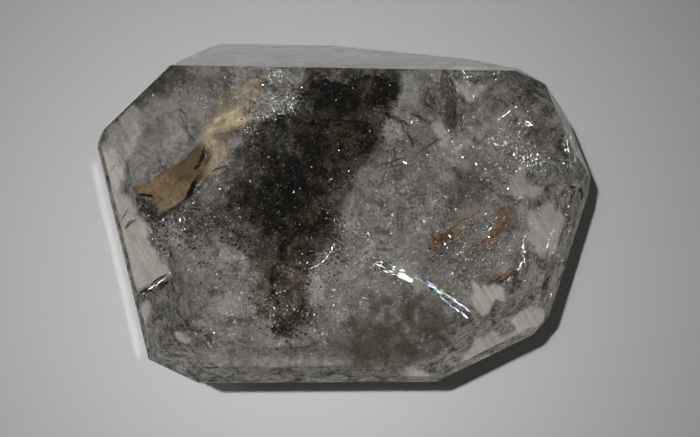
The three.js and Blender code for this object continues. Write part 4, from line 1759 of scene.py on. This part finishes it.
RAINBOW_FAN = (
    ((6.3, -10.1, 24.6), (8.2, -11.3, 24.6), 14, 0.08),
    ((8.4, -10.9, 24.6), (10.4, -12.1, 24.6), 9, 0.06),
    ((9.6, -11.6, 24.6), (13.9, -13.9, 24.6), 14, 0.05),
    ((10.4, -11.7, 24.6), (15.7, -15.3, 24.6), 15, 0.05),
    ((11.2, -12.6, 24.6), (16.1, -15.7, 24.6), 15, 0.05),
    ((11.7, -13.4, 24.6), (15.8, -16.6, 24.6), 15, 0.05),
    ((12.7, -14.3, 24.6), (15.2, -16.2, 24.6), 10, 0.05),
    ((5.0, -9.2, 24.6), (7.5, -10.6, 24.6), 8, 0.1),
    ((1.1, -13.7, 24.0), (3.5, -14.4, 24.0), 6, 0.2),
)
# The flash: a small film whose white colour is a painted highlight, tilted so that it also mirrors the glint
# lamp.
FLASH_OUTLINE = ((6.3, -10.35), (6.8, -10.35), (8.1, -11.2), (7.9, -11.4), (7.0, -11.0), (6.4, -10.7))
FLASH_LEVEL = 24.4  # mm
FACET_FLOOR = 14.0  # mm, the lowest and highest middles of the cracks that facets lie along
FACET_CEILING = 25.0
VEIL_BLACK = (0.03, 0.028, 0.025)
SILVER = (0.36, 0.35, 0.33)
ASHEN = (0.24, 0.23, 0.215)

# A facet's three corners, before it is stretched and turned.
SHARD = np.array([(-1.0, -0.25), (1.1, 0.0), (-0.35, 0.5)])
SHARD_CORNERS = (0.4, 1.3)  # least and most by which each corner is drawn out
SHARD_SIDES = (0.5, 1.2)  # and by which the facet is, along and across
DARK_SHARE = 1.5  # the power of the tones: above 1 more facets are dark than pale
SLIVER_TURN = 0.12  # radians that single slivers turn off their line
SLIVER_TILT = 0.14  # how far they tilt off their common way, as a slope
SLIVER_LENGTHS = (0.05, 0.3)  # least and most, as a share of the line
SLIVER_WIDTHS = (0.015, 0.045)  # mm, least and most
GROUP_COUNTS = (20, 160)  # fewest and most facets along one small crack
GROUP_LEAN = 30.0  # degrees, the usual lean of such a crack
GROUP_REACH = (0.5, 3.5)  # mm, least and most
GROUP_BREADTH = (0.15, 0.8)  # least and most, as a share of the reach
GROUP_DEPTH = 0.2  # mm
MASS_TOP = 0.3  # upward share of its normal above which the black mass's skin gets glints


def tilted_facets(places, size, lean, heading, spread, draw):
    """Uneven three-cornered shards at given places, tilted round a common way: their corners and tones."""
    number = len(places)
    tilt = draw.normal(0, spread, (number, 2))
    corners = SHARD[None] * draw.uniform(*SHARD_CORNERS, (number, 3, 1))
    corners = corners * draw.uniform(*SHARD_SIDES, (number, 1, 2))
    angle = draw.uniform(0, math.tau, number)
    turn = np.stack([np.cos(angle), -np.sin(angle), np.sin(angle), np.cos(angle)], -1).reshape(-1, 2, 2)
    flat = np.einsum("nij,njk->nik", corners, turn) * size[:, None, None]
    rise = (flat * tilt[:, None, :]).sum(2)
    made = np.concatenate([flat, rise[:, :, None]], 2) @ axes_for(lean, heading) + places[:, None, :]
    keep = depth_inside(made.reshape(-1, 3)).reshape(-1, 3).min(1) > FACE_MARGIN
    return made[keep], draw.uniform(0, 1, keep.sum()) ** DARK_SHARE


def slivers(start, end, count, spread, draw):
    """Long thin facets along a line, tilted to catch the light: their corners and tones."""
    start, end = np.array(start), np.array(end)
    reach = np.linalg.norm(end - start)
    across, along, out = axes_for(GLINT_LEAN, GLINT_HEADING)
    way = np.array([(end - start) @ across, (end - start) @ along]) / reach
    angle = np.arctan2(way[1], way[0]) + draw.normal(0, SLIVER_TURN, count)
    middles = start + draw.uniform(0, 1, (count, 1)) * (end - start) + draw.normal(size=(count, 3)) * spread
    length = reach * draw.uniform(*SLIVER_LENGTHS, count)
    width = draw.uniform(*SLIVER_WIDTHS, count)
    tilt = draw.normal(0, SLIVER_TILT, (count, 2))
    ways = np.column_stack([np.cos(angle), np.sin(angle)])
    sides = np.column_stack([-np.sin(angle), np.cos(angle)])
    made = []
    for share, side in ((-0.5, 0.3), (0.5, 0.0), (0.0, -1.0)):
        flat = ways * (share * length)[:, None] + sides * (side * width)[:, None]
        rise = (flat * tilt).sum(1)
        made.append(middles + flat @ np.array([across, along]) + rise[:, None] * out)
    corners = np.stack(made, 1)
    keep = depth_inside(corners.reshape(-1, 3)).reshape(-1, 3).min(1) > FACE_MARGIN
    return corners[keep], draw.uniform(0, 1, keep.sum())


def add_facets(name, made, material):
    """A piece from groups of loose three-cornered facets and their tones."""
    points = np.concatenate([corners for corners, _ in made]).reshape(-1, 3)
    tones = np.concatenate([tone for _, tone in made])
    faces = np.arange(len(points)).reshape(-1, 3)
    add_piece(name, points, faces, material, "clear_quartz", tone=np.repeat(tones, 3))


def crack_facets(count, draw):
    """Facets laid along many small cracks all through the crystal."""
    made = []
    left = count
    while left > 0:
        centre = place_inside(FACET_FLOOR, FACET_CEILING, CRACK_DEPTH, draw)
        number = int(draw.integers(*GROUP_COUNTS))
        lean, heading = abs(draw.normal(0, GROUP_LEAN)), draw.uniform(0, 360)
        reach = draw.uniform(*GROUP_REACH)
        spread = draw.normal(size=(number, 3))
        spread = spread * (reach, reach * draw.uniform(*GROUP_BREADTH), GROUP_DEPTH)
        places = centre + spread @ axes_for(lean, heading, draw.uniform(0, 360))
        size = lumpy_sizes(LOOSE_SIZES, number, draw)
        made.append(tilted_facets(places, size, lean, heading, LOOSE_TILT, draw))
        left -= len(made[-1][0])
    return made


class QUARTZ_OT_glints(bpy.types.Operator):
    """Build the small mirror facets and bright lines of the cracks"""

    bl_idname = "quartz.glints"
    bl_label = "Crack Glints"

    def execute(self, context):
        settings = context.scene.quartz_veils
        draw = np.random.default_rng(settings.seed + 7)
        made = crack_facets(settings.glint_count, draw)
        for cloud in GLINT_CLOUDS:
            places = draw.normal(cloud.middle, cloud.reach, (cloud.count, 3))
            size = lumpy_sizes(CLOUD_SIZES, cloud.count, draw)
            lean = GLINT_LEAN + LEAN_DRIFT * min(0.0, cloud.middle[0])
            made.append(tilted_facets(places, size, lean, GLINT_HEADING, CLOUD_TILT, draw))
        mass = bpy.data.objects["black_mass"].data.vertices
        skin = np.array([vertex.co[:] for vertex in mass]) / MM
        upper = skin[np.array([vertex.normal.z for vertex in mass]) > MASS_TOP]
        places = upper[draw.integers(0, len(upper), MASS_GLINTS)]
        places[:, 2] = MASS_GLINT_LEVEL
        size = lumpy_sizes(MASS_SIZES, MASS_GLINTS, draw)
        made.append(tilted_facets(places, size, GLINT_LEAN, GLINT_HEADING, MASS_TILT, draw))
        add_facets("crack_facets", made, glint_material())
        streaks = [slivers(*line, draw) for line in BRIGHT_LINES]
        add_facets("bright_streaks", streaks, streak_material("bright_streak", saturation=0.02))
        fan = [slivers(*line, draw) for line in RAINBOW_FAN]
        add_facets("rainbow_fan", fan, streak_material("rainbow_streak", saturation=0.45))
        silver = film_material("silver_veil", VEIL_BLACK, SILVER, strength=1.2, patch=800.0, cover=0.66)
        crown = film(CROWN_OUTLINE, CROWN_LEVEL, wrinkle=0.12, soft=0.9, ragged=0.6, seed=78)
        add_sheets("silver_crown", [crown], silver, "clear_quartz")
        ashen = film_material("ashen_veil", VEIL_BLACK, ASHEN, strength=1.0, patch=600.0, cover=0.6)
        arm = film(ARM_OUTLINE, ARM_LEVEL, wrinkle=0.12, soft=0.9, ragged=0.8, seed=79)
        add_sheets("ashen_veil", [arm], ashen, "clear_quartz")
        # The flash film: a painted highlight, tilted so that its specular also mirrors the glint lamp.
        tilt = axes_for(GLINT_LEAN, GLINT_HEADING)[2]
        slope = -tilt[:2] / tilt[2]
        look = dict(wrinkle=0.05, soft=0.06, ragged=0.05, step=0.08)
        flash = film(FLASH_OUTLINE, FLASH_LEVEL, slope, seed=77, **look)
        add_sheets("flash", [flash], painted_highlight_material("flash"), "clear_quartz")
        return {"FINISHED"}


# ---------------------------------------------------------------------------
# Stage
# ---------------------------------------------------------------------------

CAMERA_LEAN = (0.92, -3.34, -0.94)  # degrees about X, Y and Z
CAMERA_TARGET = (0.6, -2.7, 15.0)  # mm
KEY_PLACE = (-34.7, 11.5, 260.0)  # mm, beside the lens
KEY_WIDTH = 4.0  # mm
KEY_AIM = (-4.7, -14.9, 0.0)  # mm
KEY_SPREAD = 50.0  # degrees
GLINT_PLACE = (-108.0, 36.0, 450.0)  # mm
GLINT_WIDTH = 22.0  # mm
FLOOR_REACH = 1500.0  # mm
FLOOR_DROP = 0.05  # mm below the crystal's lowest face
# The light that the crystal's left side throws on the floor beside it, as a strip lamp just above the floor.
THROW_PLACE = (-33.85, -8.1, 8.0)  # mm
THROW_SIZE = (30.0, 0.9)  # mm, along and across
THROW_TURN = -77.7  # degrees
THROW_SPREAD = 9.0  # degrees


class QUARTZ_OT_stage(bpy.types.Operator):
    """Set up the floor, the light and the camera"""

    bl_idname = "quartz.stage"
    bl_label = "Stage"

    def execute(self, context):
        settings = context.scene.quartz_stage
        scene = context.scene
        self.add_floor(settings)
        self.add_light(scene, settings)
        self.add_camera(scene, settings)
        scene.view_settings.view_transform = "Standard"
        scene.cycles.max_bounces = 16
        scene.cycles.diffuse_bounces = 2
        scene.cycles.glossy_bounces = 3
        scene.cycles.transmission_bounces = 14
        scene.cycles.transparent_max_bounces = 32
        scene.cycles.caustics_reflective = False
        scene.cycles.caustics_refractive = False
        scene.cycles.blur_glossy = 0.3
        return {"FINISHED"}

    def add_floor(self, settings):
        material, tree, shader = new_material("plain_floor")
        set_values(tree, shader, Base_Color=colour(settings.floor_colour), Roughness=0.85)
        mesh = bpy.data.meshes.new("floor")
        reach = FLOOR_REACH * MM
        corners = [(-reach, -reach, 0), (reach, -reach, 0), (reach, reach, 0), (-reach, reach, 0)]
        mesh.from_pydata(corners, [], [(0, 1, 2, 3)])
        mesh.materials.append(material)
        floor = bpy.data.objects.new("floor", mesh)
        floor.location.z = -FLOOR_DROP * MM
        bpy.context.scene.collection.objects.link(floor)

    def add_light(self, scene, settings):
        key = self.add_lamp(scene, "key", KEY_PLACE, KEY_AIM, KEY_WIDTH, settings.key_power)
        key.data.spread = math.radians(KEY_SPREAD)
        key.visible_glossy = False
        key.visible_transmission = False
        power = settings.glint_power
        glint = self.add_lamp(scene, "glint_lamp", GLINT_PLACE, CAMERA_TARGET, GLINT_WIDTH, power)
        glint.visible_diffuse = False
        below = (*THROW_PLACE[:2], 0.0)
        throw = self.add_lamp(scene, "thrown_light", THROW_PLACE, below, THROW_SIZE[0], settings.throw_power)
        throw.data.shape = "RECTANGLE"
        throw.data.size_y = THROW_SIZE[1] * MM
        throw.data.spread = math.radians(THROW_SPREAD)
        throw.rotation_quaternion = Quaternion((0, 0, 1), math.radians(THROW_TURN))
        throw.visible_camera = False
        throw.visible_glossy = False
        throw.visible_transmission = False
        world = bpy.data.worlds.new("plain_surround")
        world.use_nodes = True
        grey = (settings.surround,) * 3
        world.node_tree.nodes["Background"].inputs["Color"].default_value = colour(grey)
        scene.world = world

    def add_lamp(self, scene, name, place, target, width, power):
        lamp = bpy.data.lights.new(name, "AREA")
        lamp.shape = "DISK"
        lamp.size = width * MM
        lamp.energy = power
        made = bpy.data.objects.new(name, lamp)
        made.location = Vector(place) * MM
        aim = Vector(target) * MM - made.location
        made.rotation_mode = "QUATERNION"
        made.rotation_quaternion = aim.to_track_quat("-Z", "Y")
        scene.collection.objects.link(made)
        return made

    def add_camera(self, scene, settings):
        data = bpy.data.cameras.new("camera")
        data.lens = settings.lens
        data.clip_start = 0.01
        camera = bpy.data.objects.new("camera", data)
        camera.rotation_mode = "ZYX"
        camera.rotation_euler = [math.radians(angle) for angle in CAMERA_LEAN]
        back = camera.rotation_euler.to_matrix() @ Vector((0, 0, 1))
        camera.location = Vector(CAMERA_TARGET) * MM + back * settings.camera_height
        scene.collection.objects.link(camera)
        scene.camera = camera


class QUARTZ_PT_panel(bpy.types.Panel):
    """The sidebar list of the crystal's pieces"""

    bl_idname = "QUARTZ_PT_panel"
    bl_label = "Quartz Crystal"
    bl_space_type = "VIEW_3D"
    bl_region_type = "UI"
    bl_category = "Quartz"

    def draw(self, context):
        for group in SETTINGS:
            settings = getattr(context.scene, group)
            for name in settings.bl_rna.properties.keys():
                if name not in ("rna_type", "name"):
                    self.layout.prop(settings, name)
        for operator in OPERATORS:
            self.layout.operator(operator.bl_idname)


SETTINGS = {
    "quartz_crystal": CrystalSettings,
    "quartz_inclusions": InclusionSettings,
    "quartz_veils": VeilSettings,
    "quartz_stage": StageSettings,
}
OPERATORS = (
    QUARTZ_OT_stage,
    QUARTZ_OT_crystal,
    QUARTZ_OT_hydrocarbon,
    QUARTZ_OT_brown_flake,
    QUARTZ_OT_golden_crack,
    QUARTZ_OT_veils,
    QUARTZ_OT_smoke,
    QUARTZ_OT_windows,
    QUARTZ_OT_fibres,
    QUARTZ_OT_glints,
)
CLASSES = (*SETTINGS.values(), *OPERATORS, QUARTZ_PT_panel)


def register():
    for cls in CLASSES:
        bpy.utils.register_class(cls)
    for name, group in SETTINGS.items():
        setattr(bpy.types.Scene, name, bpy.props.PointerProperty(type=group))


def unregister():
    for name in SETTINGS:
        delattr(bpy.types.Scene, name)
    for cls in reversed(CLASSES):
        bpy.utils.unregister_class(cls)


def main():
    register()
    for operator in OPERATORS:
        category, name = operator.bl_idname.split(".")
        getattr(getattr(bpy.ops, category), name)()


if __name__ == "__main__":
    main()
